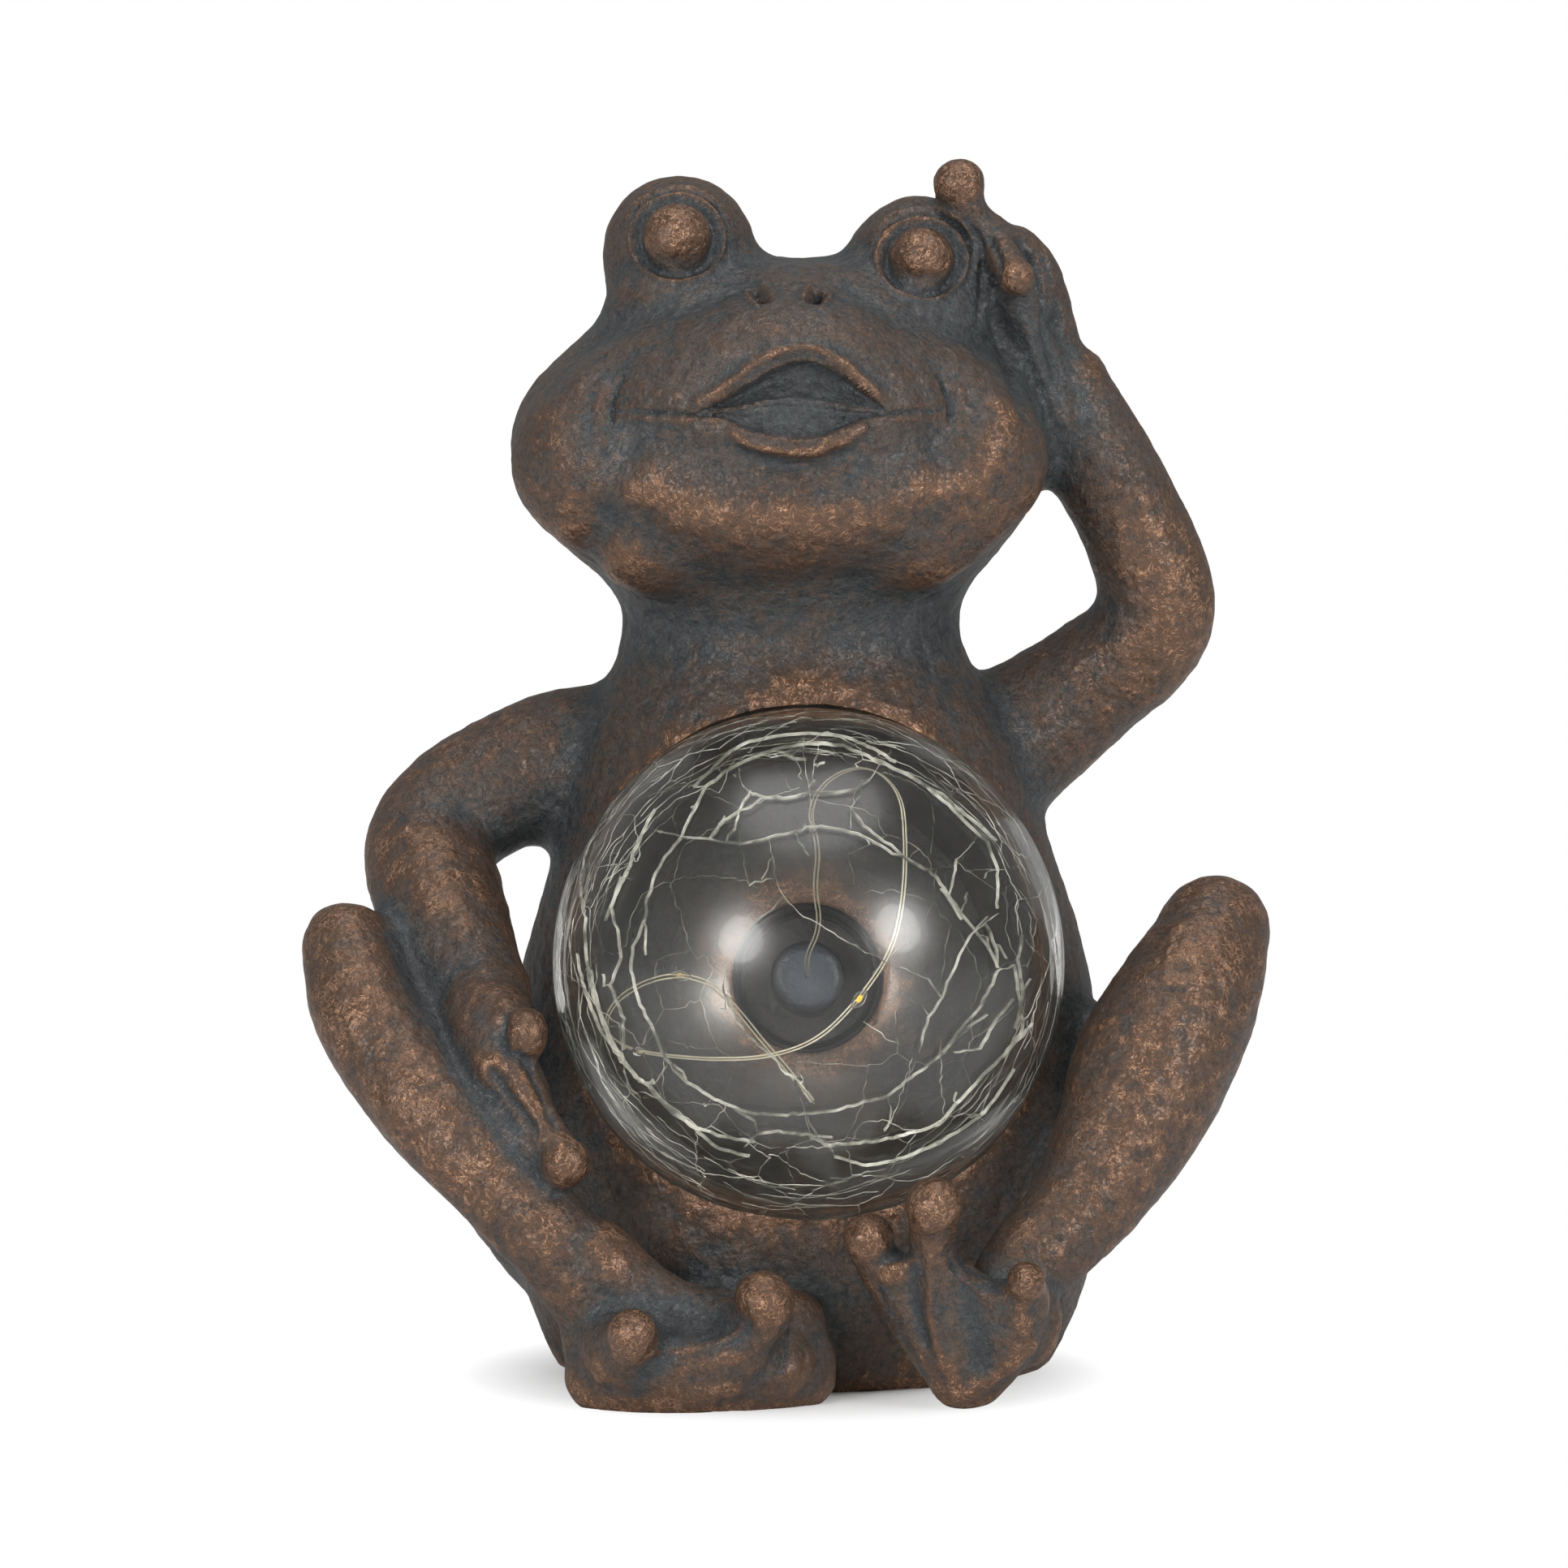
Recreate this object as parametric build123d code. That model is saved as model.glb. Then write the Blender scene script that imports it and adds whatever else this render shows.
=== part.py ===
from build123d import *
import math
import os

# Seated frog figurine, hand on head, with a crackled glass globe in its lap.
# Millimetres, +Z up, front of the frog towards -Y, standing on z = 0.

# Overall size of the figure
figure_width = 191.0
figure_depth = 150.0
figure_height = 241.0
cut_overrun = 30.0

# Casting
casting_wall = 5.0
body_girth = 60.0
arm_girth = 14.0
leg_girth = 15.0
finger_girth = 6.0
foot_girth = 10.0
face_girth = 15.4
tip_radius = 4.8
web_thickness = 7.0
sole_height = 13.0
sole_thickness = 12.0
right_sole_taper = 32.0
left_sole_taper = 12.0
sole_corner = 3.0
eye_bulge_radius = 15.2
eyeball_radius = 6.9
eyelid_ring_radius = 9.2
eyelid_thickness = 1.7
nostril_radius = 1.5
lip_radius = 2.0
mouth_depth = 7.0

# Glass globe
globe_radius = 50.0
globe_wall = 2.0
globe_side = 4.8
globe_front = 25.0
globe_height = 83.7
globe_dip = 8.0
neck_radius = 15.0
neck_reach = 64.0
globe_clearance = 0.6
neck_clearance = 0.5
bedding_clearance = 0.1
bedding_low = 26.0
bedding_high = 34.0

# Washer, collar and plug on the neck
boss_radius = 24.0
boss_reach = 57.0
washer_radius = 20.0
washer_thickness = 2.0
collar_radius = 21.0
collar_thickness = 4.0
ring_clearance = 0.1
plug_flange_thickness = 2.2
plug_seal_length = 8.0
plug_nose_radius = 7.5
plug_nose_length = 12.0
plug_nose_round = 2.5
plug_clearance = 0.15

# Base plate
base_plate_thickness = 3.0
base_plate_recess = 1.0
base_plate_clearance = 0.2
base_ledge = 3.0
base_lip_thickness = 2.5

# Lamp module in the back
module_side = 3.0
module_back = 61.5
module_height = 96.0
module_tilt = 18.0
module_width = 64.0
module_length = 76.0
module_corner = 6.0
pad_margin = 5.0
pad_depth = 22.0
pad_floor = 5.0
module_proud = 1.0
module_clearance = 0.3
gasket_thickness = 1.0
flange_thickness = 2.0
cover_thickness = 4.0
flange_width = 6.0
tub_clearance = 0.5
tub_depth = 12.0
tub_wall = 1.8
tub_corner = 3.0

# Solar panel
panel_width = 48.0
panel_end_gap = 5.0
panel_door_gap = 2.5
panel_clearance = 0.3
panel_board_thickness = 1.0
cell_thickness = 0.3
cell_gap = 0.6
cell_count = 5
cell_margin = 1.5
tab_width = 1.0
tab_thickness = 0.15
window_thickness = 0.7
panel_hole_width = 20.0
panel_hole_length = 14.0

# Battery door with its screw and seal
door_width = 54.0
door_length = 17.0
door_end_gap = 15.5
door_thickness = 2.0
door_clearance = 0.3
door_corner = 2.0
door_ledge = 1.5
door_lobe_radius = 4.0
door_lobe_drop = 1.0
door_grip_count = 5
door_grip_width = 1.0
door_grip_depth = 0.5
door_grip_pitch = 2.6
seal_thickness = 0.5
door_screw_radius = 1.0
door_screw_length = 8.0
door_screw_head_radius = 2.0
door_screw_head_thickness = 1.2
screw_clearance = 0.15
screw_slot_width = 0.6
screw_slot_depth = 0.5
door_boss_radius = 2.6

# Cell, sleeve, cradle and contacts
cell_radius = 5.05
cell_length = 43.2
cell_cap_radius = 1.9
cell_cap_length = 1.1
sleeve_thickness = 0.2
cell_depth = 8.0
cradle_clearance = 0.3
cradle_width = 13.2
cradle_gap = 0.2
contact_thickness = 0.4
contact_width = 7.0
contact_height = 7.2
contact_bow = 2.8

# Control board
board_width = 44.0
board_end_gap = 2.2
board_door_gap = 7.5
board_thickness = 1.2
board_lift = 3.0
board_post_radius = 2.6
board_screw_radius = 0.9
board_screw_length = 3.6
board_screw_head_radius = 1.8
board_screw_head_thickness = 1.0
board_screw_margin = 3.0
chip_width = 6.0
chip_length = 5.0
chip_thickness = 1.6
coil_radius = 3.2
coil_height = 3.6
capacitor_radius = 2.0
capacitor_height = 4.6

# Slide switch
switch_side = 15.0
switch_end_gap = 1.2
switch_case_width = 12.0
switch_case_length = 6.0
switch_case_depth = 5.0
switch_travel = 3.0
slider_base_width = 5.0
slider_base_length = 2.8
slider_base_thickness = 1.6
slider_gap = 0.2
nub_width = 3.0
nub_length = 2.2
nub_proud = 1.4
nub_grip_depth = 0.3

# Corner screws of the cover
cover_screw_radius = 1.1
cover_screw_length = 4.2
cover_screw_head_radius = 2.1
cover_screw_head_thickness = 1.2
cover_screw_margin = 4.2

# Wires
wire_radius = 0.55
lamp_radius = 1.1
lamp_clearance = 0.05
lead_radius = 0.6
string_lead_radius = 0.9
grommet_radius = 2.6
grommet_lip = 1.0
grommet_door_gap = 2.8
lead_gap = 0.1

# Route of the wire in the globe, from the plug to its free end
string_route = [
    (4.8, 12.1, 78.5),
    (4.4, 7.0, 82.6),
    (7.4, 3.0, 89.0),
    (6.0, -3.0, 97.0),
    (7.0, -9.0, 105.5),
    (4.5, -16.0, 113.5),
    (9.0, -25.0, 120.5),
    (16.5, -35.0, 123.0),
    (22.5, -44.5, 118.0),
    (23.2, -51.5, 109.0),
    (22.8, -56.0, 98.5),
    (20.5, -59.0, 88.5),
    (14.2, -60.0, 79.5),
    (6.5, -58.5, 71.5),
    (-3.5, -55.5, 68.0),
    (-14.0, -51.0, 67.3),
    (-24.5, -43.5, 67.5),
    (-31.5, -34.0, 68.3),
    (-35.6, -22.5, 71.0),
    (-33.5, -10.5, 75.5),
    (-25.5, -1.5, 79.5),
    (-16.0, 0.5, 79.0),
    (-9.5, -5.5, 73.5),
    (-4.5, -11.5, 67.5),
    (1.0, -17.0, 62.0),
    (5.6, -22.0, 56.4),
]
lamp_runs = [4, 11, 16, 20, 24]

# Places as shares of half width, half depth and height, radii as shares of a girth

# up, half width, half depth, side, back: the body and head, level by level
TRUNK_SHARES = [
    (0.000, 0.83, 0.83, 0.042, 0.267),
    (0.058, 0.95, 0.92, 0.042, 0.253),
    (0.149, 1.00, 0.95, 0.045, 0.240),
    (0.249, 1.00, 0.93, 0.045, 0.240),
    (0.340, 0.95, 0.85, 0.045, 0.227),
    (0.440, 0.81, 0.73, 0.042, 0.200),
    (0.531, 0.72, 0.62, 0.031, 0.173),
    (0.585, 0.59, 0.52, 0.016, 0.160),
    (0.622, 0.555, 0.475, 0.014, 0.147),
    (0.651, 0.61, 0.52, 0.005, 0.107),
    (0.689, 0.75, 0.64, -0.005, 0.060),
    (0.726, 0.85, 0.725, -0.008, 0.033),
    (0.763, 0.887, 0.75, -0.010, 0.027),
    (0.801, 0.86, 0.735, -0.010, 0.027),
    (0.834, 0.76, 0.685, 0.000, 0.040),
    (0.867, 0.62, 0.60, 0.016, 0.067),
    (0.896, 0.48, 0.47, 0.026, 0.107),
    (0.917, 0.31, 0.30, 0.031, 0.133),
    (0.927, 0.11, 0.10, 0.031, 0.147),
]
CORE_LEVELS = 16

# side, back, up, girth
RIGHT_ARM_SHARES = [
    (-0.37, 0.24, 0.500, 1.20),
    (-0.56, 0.23, 0.488, 1.03),
    (-0.765, 0.13, 0.443, 0.92),
    (-0.71, -0.05, 0.392, 0.89),
    (-0.66, -0.19, 0.349, 0.76),
    (-0.61, -0.30, 0.315, 0.64),
]
LEFT_ARM_SHARES = [
    (0.40, 0.24, 0.500, 1.20),
    (0.60, 0.27, 0.556, 0.94),
    (0.80, 0.19, 0.629, 0.82),
    (0.73, 0.15, 0.697, 0.78),
    (0.65, 0.11, 0.759, 0.74),
    (0.58, 0.07, 0.817, 0.58),
    (0.53, 0.03, 0.880, 0.52),
    (0.50, 0.01, 0.922, 0.46),
]
RIGHT_LEG_SHARES = [
    (-0.42, 0.40, 0.124, 1.40),
    (-0.67, 0.11, 0.235, 0.95),
    (-0.905, -0.27, 0.360, 0.60),
    (-0.81, -0.41, 0.278, 0.67),
    (-0.69, -0.52, 0.224, 0.68),
    (-0.57, -0.58, 0.172, 0.64),
    (-0.43, -0.60, 0.116, 0.60),
    (-0.335, -0.60, 0.060, 0.66),
]
LEFT_LEG_SHARES = [
    (0.46, 0.40, 0.124, 1.40),
    (0.66, 0.11, 0.207, 1.02),
    (0.89, -0.17, 0.371, 0.72),
    (0.84, -0.27, 0.332, 0.88),
    (0.76, -0.35, 0.270, 1.02),
    (0.68, -0.45, 0.201, 0.83),
    (0.60, -0.52, 0.152, 0.64),
    (0.48, -0.61, 0.112, 0.55),
    (0.37, -0.70, 0.042, 0.60),
]
FINGER_SHARES = [
    [(-0.60, -0.44, 0.297, 1.37), (-0.55, -0.50, 0.299, 0.75), (-0.52, -0.56, 0.296, 0.68)],
    [(-0.58, -0.46, 0.272, 1.25), (-0.51, -0.60, 0.238, 0.80), (-0.44, -0.67, 0.200, 0.66)],
    [(-0.61, -0.43, 0.272, 1.20), (-0.57, -0.55, 0.232, 0.70), (-0.51, -0.63, 0.205, 0.55)],
    [(0.475, -0.015, 0.920, 0.90), (0.421, -0.045, 0.939, 0.84), (0.362, -0.075, 0.973, 0.78)],
    [(0.457, -0.020, 0.934, 0.65), (0.446, -0.085, 0.928, 0.62), (0.471, -0.176, 0.906, 0.58)],
    [(0.55, 0.03, 0.880, 0.75), (0.53, 0.03, 0.915, 0.76), (0.48, 0.00, 0.932, 0.70)],
    [(0.478, -0.12, 0.892, 0.65), (0.503, -0.067, 0.859, 0.75), (0.576, 0.027, 0.788, 1.05)],
]
FINGER_TIP_SHARES = [
    (-0.52, -0.57, 0.295, 0.92),
    (-0.44, -0.67, 0.198, 0.98),
    (0.36, -0.08, 0.981, 0.94),
    (0.47, -0.19, 0.905, 0.76),
]
TOE_SHARES = [
    [(-0.325, -0.58, 0.050, 1.10), (-0.31, -0.76, 0.050, 0.82), (-0.30, -0.85, 0.063, 0.52)],
    [(-0.30, -0.60, 0.046, 1.05), (-0.17, -0.71, 0.042, 0.86), (-0.05, -0.81, 0.080, 0.54)],
    [(-0.30, -0.52, 0.046, 1.08), (-0.10, -0.55, 0.047, 0.98), (0.02, -0.61, 0.060, 0.76)],
    [(-0.20, -0.69, 0.040, 0.90), (-0.04, -0.65, 0.038, 0.88)],
    [(0.37, -0.71, 0.036, 0.80), (0.24, -0.72, 0.090, 0.52), (0.17, -0.74, 0.133, 0.42)],
    [(0.36, -0.74, 0.036, 0.82), (0.32, -0.80, 0.100, 0.54), (0.30, -0.84, 0.160, 0.46)],
    [(0.38, -0.72, 0.036, 0.80), (0.44, -0.80, 0.075, 0.50), (0.475, -0.84, 0.106, 0.40)],
]
TOE_TIP_SHARES = [
    (-0.30, -0.88, 0.067, 0.98),
    (-0.04, -0.82, 0.089, 1.20),
    (0.17, -0.75, 0.136, 0.98),
    (0.30, -0.85, 0.167, 1.12),
    (0.48, -0.85, 0.109, 0.80),
]
WEB_SHARES = [
    [(-0.35, -0.60, 0.030), (-0.30, -0.84, 0.050), (-0.08, -0.78, 0.062)],
    [(-0.35, -0.56, 0.030), (-0.08, -0.77, 0.060), (0.04, -0.60, 0.055)],
    [(0.37, -0.71, 0.020), (0.19, -0.735, 0.118), (0.30, -0.80, 0.125)],
    [(0.37, -0.72, 0.020), (0.31, -0.81, 0.125), (0.46, -0.82, 0.090)],
]
RIGHT_SOLE_SHARES = [
    (-0.42, -0.46),
    (-0.43, -0.72),
    (-0.38, -0.88),
    (-0.22, -0.86),
    (-0.04, -0.92),
    (0.09, -0.78),
    (0.10, -0.54),
    (-0.21, -0.40),
]
LEFT_SOLE_SHARES = [
    (0.33, 0.000),
    (0.27, 0.018),
    (0.20, 0.062),
    (0.15, 0.125),
    (0.22, 0.130),
    (0.29, 0.160),
    (0.36, 0.128),
    (0.43, 0.102),
    (0.50, 0.110),
    (0.53, 0.080),
    (0.52, 0.050),
    (0.46, 0.017),
    (0.39, 0.000),
]
LEFT_SOLE_BACK_SHARE = -0.76
FACE_SHARES = [
    [(-0.08, -0.32, 0.830, 1.00), (0.09, -0.32, 0.830, 1.00)],
    [(-0.18, -0.34, 0.730, 0.93), (0.18, -0.34, 0.730, 0.93)],
    [(-0.18, -0.34, 0.730, 0.93), (-0.394, -0.20, 0.755, 1.00)],
    [(0.18, -0.34, 0.730, 0.93), (0.373, -0.20, 0.757, 1.00)],
    [(0.440, 0.035, 0.835, 0.70), (0.455, 0.025, 0.885, 0.52)],
]
EYE_BULGE_SHARES = [
    (-0.215, 0.05, 0.925, 1.00),
    (0.28, 0.05, 0.910, 0.95),
    (-0.22, -0.03, 0.869, 1.00),
    (0.285, -0.03, 0.861, 0.97),
]
EYEBALL_SHARES = [(-0.213, -0.135, 0.936, 1.00), (0.285, -0.13, 0.919, 0.95)]
EYELID_SHARES = [(-0.213, -0.115, 0.936, 1.00), (0.285, -0.11, 0.919, 0.95)]
NOSTRIL_SHARES = [(-0.05, -0.44, 0.885), (0.064, -0.44, 0.885)]
UPPER_LIP_SHARES = [
    (-0.36, -0.41, 0.796),
    (-0.25, -0.49, 0.800),
    (-0.15, -0.52, 0.812),
    (-0.06, -0.510, 0.834),
    (0.03, -0.500, 0.842),
    (0.12, -0.510, 0.832),
    (0.21, -0.52, 0.811),
    (0.29, -0.48, 0.800),
    (0.36, -0.41, 0.796),
]
LOWER_LIP_SHARES = [
    (-0.15, -0.545, 0.790),
    (-0.07, -0.57, 0.772),
    (0.02, -0.575, 0.765),
    (0.11, -0.57, 0.772),
    (0.19, -0.535, 0.788),
]
MOUTH_SHARES = [
    (-0.16, 0.800),
    (-0.05, 0.826),
    (0.03, 0.833),
    (0.11, 0.825),
    (0.22, 0.799),
    (0.11, 0.778),
    (0.02, 0.772),
    (-0.06, 0.778),
]
MOUTH_FRONT_SHARE = -0.53
JOINT_SHARE = 0.95
ARC_SHARE = 0.45
CHIP_SHARES = (-0.18, 0.15)
COIL_SHARES = (0.18, -0.10)
CAPACITOR_SHARES = (0.32, 0.18)
PANEL_LEAD_SHARE = 0.06

# Values worked out from the sizes above
recess_depth = gasket_thickness + flange_thickness + cover_thickness - module_proud
flange_low = gasket_thickness - recess_depth
flange_high = flange_low + flange_thickness
cover_high = flange_high + cover_thickness
tub_low = flange_low - tub_depth
tub_floor = tub_low + tub_wall
tub_width = module_width - 2 * flange_width
tub_length = module_length - 2 * flange_width
tub_end = tub_length / 2 - tub_wall
door_offset = door_end_gap + door_length / 2 - module_length / 2
door_top = door_offset + door_length / 2
panel_length = module_length / 2 - panel_end_gap - door_top - panel_door_gap
panel_offset = door_top + panel_door_gap + panel_length / 2
board_length = tub_end - board_end_gap - door_top - board_door_gap
board_offset = door_top + board_door_gap + board_length / 2
switch_offset = switch_end_gap + switch_case_length / 2 - tub_end
grommet_offset = door_top + grommet_door_gap
pad_width = module_width + 2 * (module_clearance + pad_margin)
pad_length = module_length + 2 * (module_clearance + pad_margin)
dish_radius = globe_radius + globe_clearance
dish_wall_radius = dish_radius + casting_wall
plate_top = base_plate_recess + base_plate_thickness
lip_top = plate_top + base_lip_thickness
plug_low = neck_reach - plug_seal_length
plug_high = neck_reach + plug_flange_thickness
nose_low = plug_low - plug_nose_length
panel_seat = cover_high - window_thickness - cell_thickness - panel_board_thickness
window_low = cover_high - window_thickness
cell_low = window_low - cell_thickness
door_low = cover_high - door_thickness
seal_low = door_low - seal_thickness
lobe_offset = door_offset - door_length / 2 - door_lobe_drop
board_low = tub_floor + board_lift
board_high = board_low + board_thickness
case_low = flange_high - switch_case_depth
grommet_side = module_side - globe_side
board_side = board_width / 2 - board_screw_margin
board_reach = board_length / 2 - board_screw_margin
board_places = [
    (side, board_offset + reach)
    for side in (-board_side, board_side)
    for reach in (-board_reach, board_reach)
]
cover_side = module_width / 2 - cover_screw_margin
cover_reach = module_length / 2 - cover_screw_margin
cover_places = [
    (side, reach) for side in (-cover_side, cover_side) for reach in (-cover_reach, cover_reach)
]
contact_outer = tub_width / 2 - tub_wall - cradle_gap
contact_inner = contact_outer - contact_thickness

# Routes of the leads in the module's frame: side, up the slope from the door's top, and out of the back
string_lead_route = [
    (grommet_side, -7.1, -21.3),
    (grommet_side, -0.1, -20.4),
    (grommet_side, grommet_door_gap, -19.7),
    (grommet_side, grommet_door_gap, -12.6),
    (grommet_side, 4.6, -11.6),
    (grommet_side, board_door_gap, -11.6),
]
plug_exit_run = 3.0
battery_lead_route = [
    (23.3, -5.0, -6.6),
    (23.3, -0.9, -6.6),
    (20.0, 2.1, -9.8),
    (14.0, 4.1, -11.6),
    (14.0, board_door_gap, -11.6),
]

down = math.radians(globe_dip)
lean = math.radians(module_tilt)
globe_frame = Plane(
    origin=(globe_side, -globe_front, globe_height),
    x_dir=(1, 0, 0),
    z_dir=(0, math.cos(down), -math.sin(down)),
)
module_frame = Plane(
    origin=(module_side, module_back, module_height),
    x_dir=(-1, 0, 0),
    z_dir=(0, math.cos(lean), math.sin(lean)),
)


def spot(side, back, up):
    """A place in the figure, from its shares of half width, half depth and height."""
    return Vector(side * figure_width / 2, back * figure_depth / 2, up * figure_height)


def taper(start, start_radius, end, end_radius):
    """A round-ended tapered length between two places."""
    length = (end - start).length
    slope = (start_radius - end_radius) / length
    turn = math.acos(slope)
    far = (math.pi + turn) / 2
    near = turn / 2
    tail = Vector(-start_radius, 0, 0)
    tail_bulge = Vector(start_radius * math.cos(far), start_radius * math.sin(far), 0)
    shoulder = Vector(start_radius * math.cos(turn), start_radius * math.sin(turn), 0)
    hip = Vector(length + end_radius * math.cos(turn), end_radius * math.sin(turn), 0)
    nose_bulge = Vector(length + end_radius * math.cos(near), end_radius * math.sin(near), 0)
    nose = Vector(length + end_radius, 0, 0)
    outline = Wire(
        [
            Edge.make_three_point_arc(tail, tail_bulge, shoulder),
            Edge.make_line(shoulder, hip),
            Edge.make_three_point_arc(hip, nose_bulge, nose),
            Edge.make_line(nose, tail),
        ]
    )
    along = (end - start).normalized()
    across = along.cross(Vector(0, 0, 1))
    if across.length == 0:
        across = Vector(0, 1, 0)
    return Plane(origin=start, x_dir=along, z_dir=across) * revolve(Face(outline), Axis.X)


def limb(shares, girth):
    """A chain of tapered lengths through a table of places and radii."""
    lengths = []
    for first, last in zip(shares, shares[1:]):
        start_radius = first[3] * girth * JOINT_SHARE
        lengths.append(taper(spot(*first[:3]), start_radius, spot(*last[:3]), last[3] * girth))
    return lengths


def ball(shares, radius):
    """A round tip at one place."""
    return Pos(spot(*shares[:3])) * Sphere(shares[3] * radius)


def web(shares):
    """A skin stretched between three places, as thick each side of them."""
    corners = [spot(*place) for place in shares]
    face = Face(Wire.make_polygon(corners, close=True))
    return extrude(face, amount=web_thickness / 2, both=True)


def right_sole():
    """The sole under the right foot, narrower towards the ground."""
    corners = [(side * figure_width / 2, -back * figure_depth / 2) for side, back in RIGHT_SOLE_SHARES]
    outline = make_face(Polyline(*corners, close=True))
    outline = fillet(outline.vertices(), sole_corner)
    lying = Plane(origin=(0, 0, sole_height), x_dir=(1, 0, 0), z_dir=(0, 0, -1))
    return lying * extrude(outline, amount=sole_height, taper=right_sole_taper)


def left_sole():
    """The sole that the left foot shows to the front, narrower towards its face."""
    corners = [(side * figure_width / 2, up * figure_height) for side, up in LEFT_SOLE_SHARES]
    outline = make_face(Polyline(*corners, close=True))
    upright = Plane(origin=spot(0, LEFT_SOLE_BACK_SHARE, 0), x_dir=(1, 0, 0), z_dir=(0, -1, 0))
    return upright * extrude(outline, amount=sole_thickness, taper=left_sole_taper)


def trunk(inset, levels):
    """The body and head as one skin, drawn in by the inset."""
    sections = []
    for up, wide, deep, side, back in levels:
        outline = Ellipse(wide * body_girth - inset, deep * body_girth - inset)
        sections.append(Plane(origin=spot(side, back, up)) * outline)
    return loft(sections)


def oval(inset, low, high):
    """An upright oval that follows the foot of the body, drawn in by the inset."""
    up, wide, deep, side, back = TRUNK_SHARES[0]
    outline = Ellipse(wide * body_girth - inset, deep * body_girth - inset)
    return Pos(0, 0, low) * extrude(Plane(origin=spot(side, back, up)) * outline, amount=high - low)


def plate(width, length, corner, low, high, side=0, offset=0):
    """A plate with round corners in the module's frame, between two depths."""
    outline = RectangleRounded(width, length, corner)
    return module_frame * Pos(side, offset, low) * extrude(outline, amount=high - low)


def block(width, length, low, high, side=0, offset=0):
    """A square-cornered block in the module's frame, between two depths."""
    return module_frame * Pos(side, offset, (low + high) / 2) * Box(width, length, high - low)


def rod(radius, low, high, side=0, offset=0):
    """A round rod in the module's frame, between two depths."""
    return module_frame * Pos(side, offset, (low + high) / 2) * Cylinder(radius, high - low)


def neck_rod(radius, low, high):
    """A round rod along the globe's neck, between two distances from its centre."""
    return globe_frame * Pos(0, 0, (low + high) / 2) * Cylinder(radius, high - low)


def pipe(points, radius):
    """A round wire along straight runs joined by the largest arcs that they allow."""
    radii = []
    for before, corner, after in zip(points, points[1:], points[2:]):
        arriving = corner - before
        leaving = after - corner
        half_turn = math.radians(arriving.get_angle(leaving)) / 2
        radii.append(ARC_SHARE * min(arriving.length, leaving.length) / math.tan(half_turn))
    path = FilletPolyline(*points, radius=radii)
    outline = Plane(origin=path @ 0, z_dir=path % 0) * Circle(radius)
    return sweep(outline, path=path), radii


def screw(frame_side, frame_offset, head_top, head_radius, head_thickness, radius, length):
    """A slotted screw, its head's top at the given depth."""
    head_low = head_top - head_thickness
    body = rod(head_radius, head_low, head_top, frame_side, frame_offset)
    body += rod(radius, head_low - length, head_low, frame_side, frame_offset)
    slot_low = head_top - screw_slot_depth
    slot_length = 2 * head_radius
    return body - block(
        slot_length, screw_slot_width, slot_low, head_top, frame_side, frame_offset
    )


def casting():
    """The hollow resin casting, with its dish, its neck hole and the opening in the back."""
    shapes = []
    for shares in (RIGHT_ARM_SHARES, LEFT_ARM_SHARES):
        shapes += limb(shares, arm_girth)
    for shares in (RIGHT_LEG_SHARES, LEFT_LEG_SHARES):
        shapes += limb(shares, leg_girth)
    for shares in FINGER_SHARES:
        shapes += limb(shares, finger_girth)
    for shares in TOE_SHARES:
        shapes += limb(shares, foot_girth)
    for shares in FACE_SHARES:
        shapes += limb(shares, face_girth)
    for shares in FINGER_TIP_SHARES + TOE_TIP_SHARES:
        shapes.append(ball(shares, tip_radius))
    for shares in WEB_SHARES:
        shapes.append(web(shares))
    shapes.append(right_sole())
    shapes.append(left_sole())
    for shares in EYE_BULGE_SHARES:
        shapes.append(ball(shares, eye_bulge_radius))
    for shares in EYEBALL_SHARES:
        shapes.append(ball(shares, eyeball_radius))
    for shares in EYELID_SHARES:
        ring = Torus(eyelid_ring_radius * shares[3], eyelid_thickness)
        shapes.append(Pos(spot(*shares[:3])) * Rot(90, 0, 0) * ring)
    for shares in (UPPER_LIP_SHARES, LOWER_LIP_SHARES):
        for first, last in zip(shares, shares[1:]):
            shapes.append(taper(spot(*first), lip_radius * JOINT_SHARE, spot(*last), lip_radius))
    shapes.append(plate(pad_width, pad_length, module_corner + pad_margin, -pad_depth, 0))
    body = trunk(0, TRUNK_SHARES).fuse(*shapes)

    hollow = trunk(casting_wall, TRUNK_SHARES[:CORE_LEVELS])
    hollow -= Pos(0, 0, (lip_top - cut_overrun) / 2) * Box(
        2 * figure_width, 2 * figure_depth, lip_top + cut_overrun
    )
    hollow -= globe_frame * Sphere(dish_wall_radius)
    hollow -= neck_rod(boss_radius, 0, boss_reach)
    hollow -= plate(pad_width, pad_length, module_corner + pad_margin, -recess_depth - pad_floor, 0)
    body -= hollow

    body -= globe_frame * Sphere(dish_radius)
    body -= neck_rod(neck_radius + neck_clearance, 0, boss_reach + cut_overrun)
    body -= plate(
        module_width + 2 * module_clearance,
        module_length + 2 * module_clearance,
        module_corner + module_clearance,
        -recess_depth,
        cut_overrun,
    )
    body -= plate(pad_width, pad_length, module_corner + pad_margin, 0, cut_overrun)
    body -= plate(
        tub_width + 2 * tub_clearance,
        tub_length + 2 * tub_clearance,
        tub_corner + tub_clearance,
        -pad_depth,
        0,
    )
    body -= oval(casting_wall + base_ledge, -cut_overrun, lip_top + casting_wall)
    body -= oval(casting_wall, -cut_overrun, plate_top)
    for shares in NOSTRIL_SHARES:
        body -= Pos(spot(*shares)) * Sphere(nostril_radius)
    corners = [spot(side, MOUTH_FRONT_SHARE, up) for side, up in MOUTH_SHARES]
    mouth = Face(Wire.make_polygon(corners, close=True))
    body -= extrude(mouth, amount=mouth_depth, both=True)
    body -= Pos(0, 0, -cut_overrun / 2) * Box(2 * figure_width, 2 * figure_depth, cut_overrun)
    return body


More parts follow.
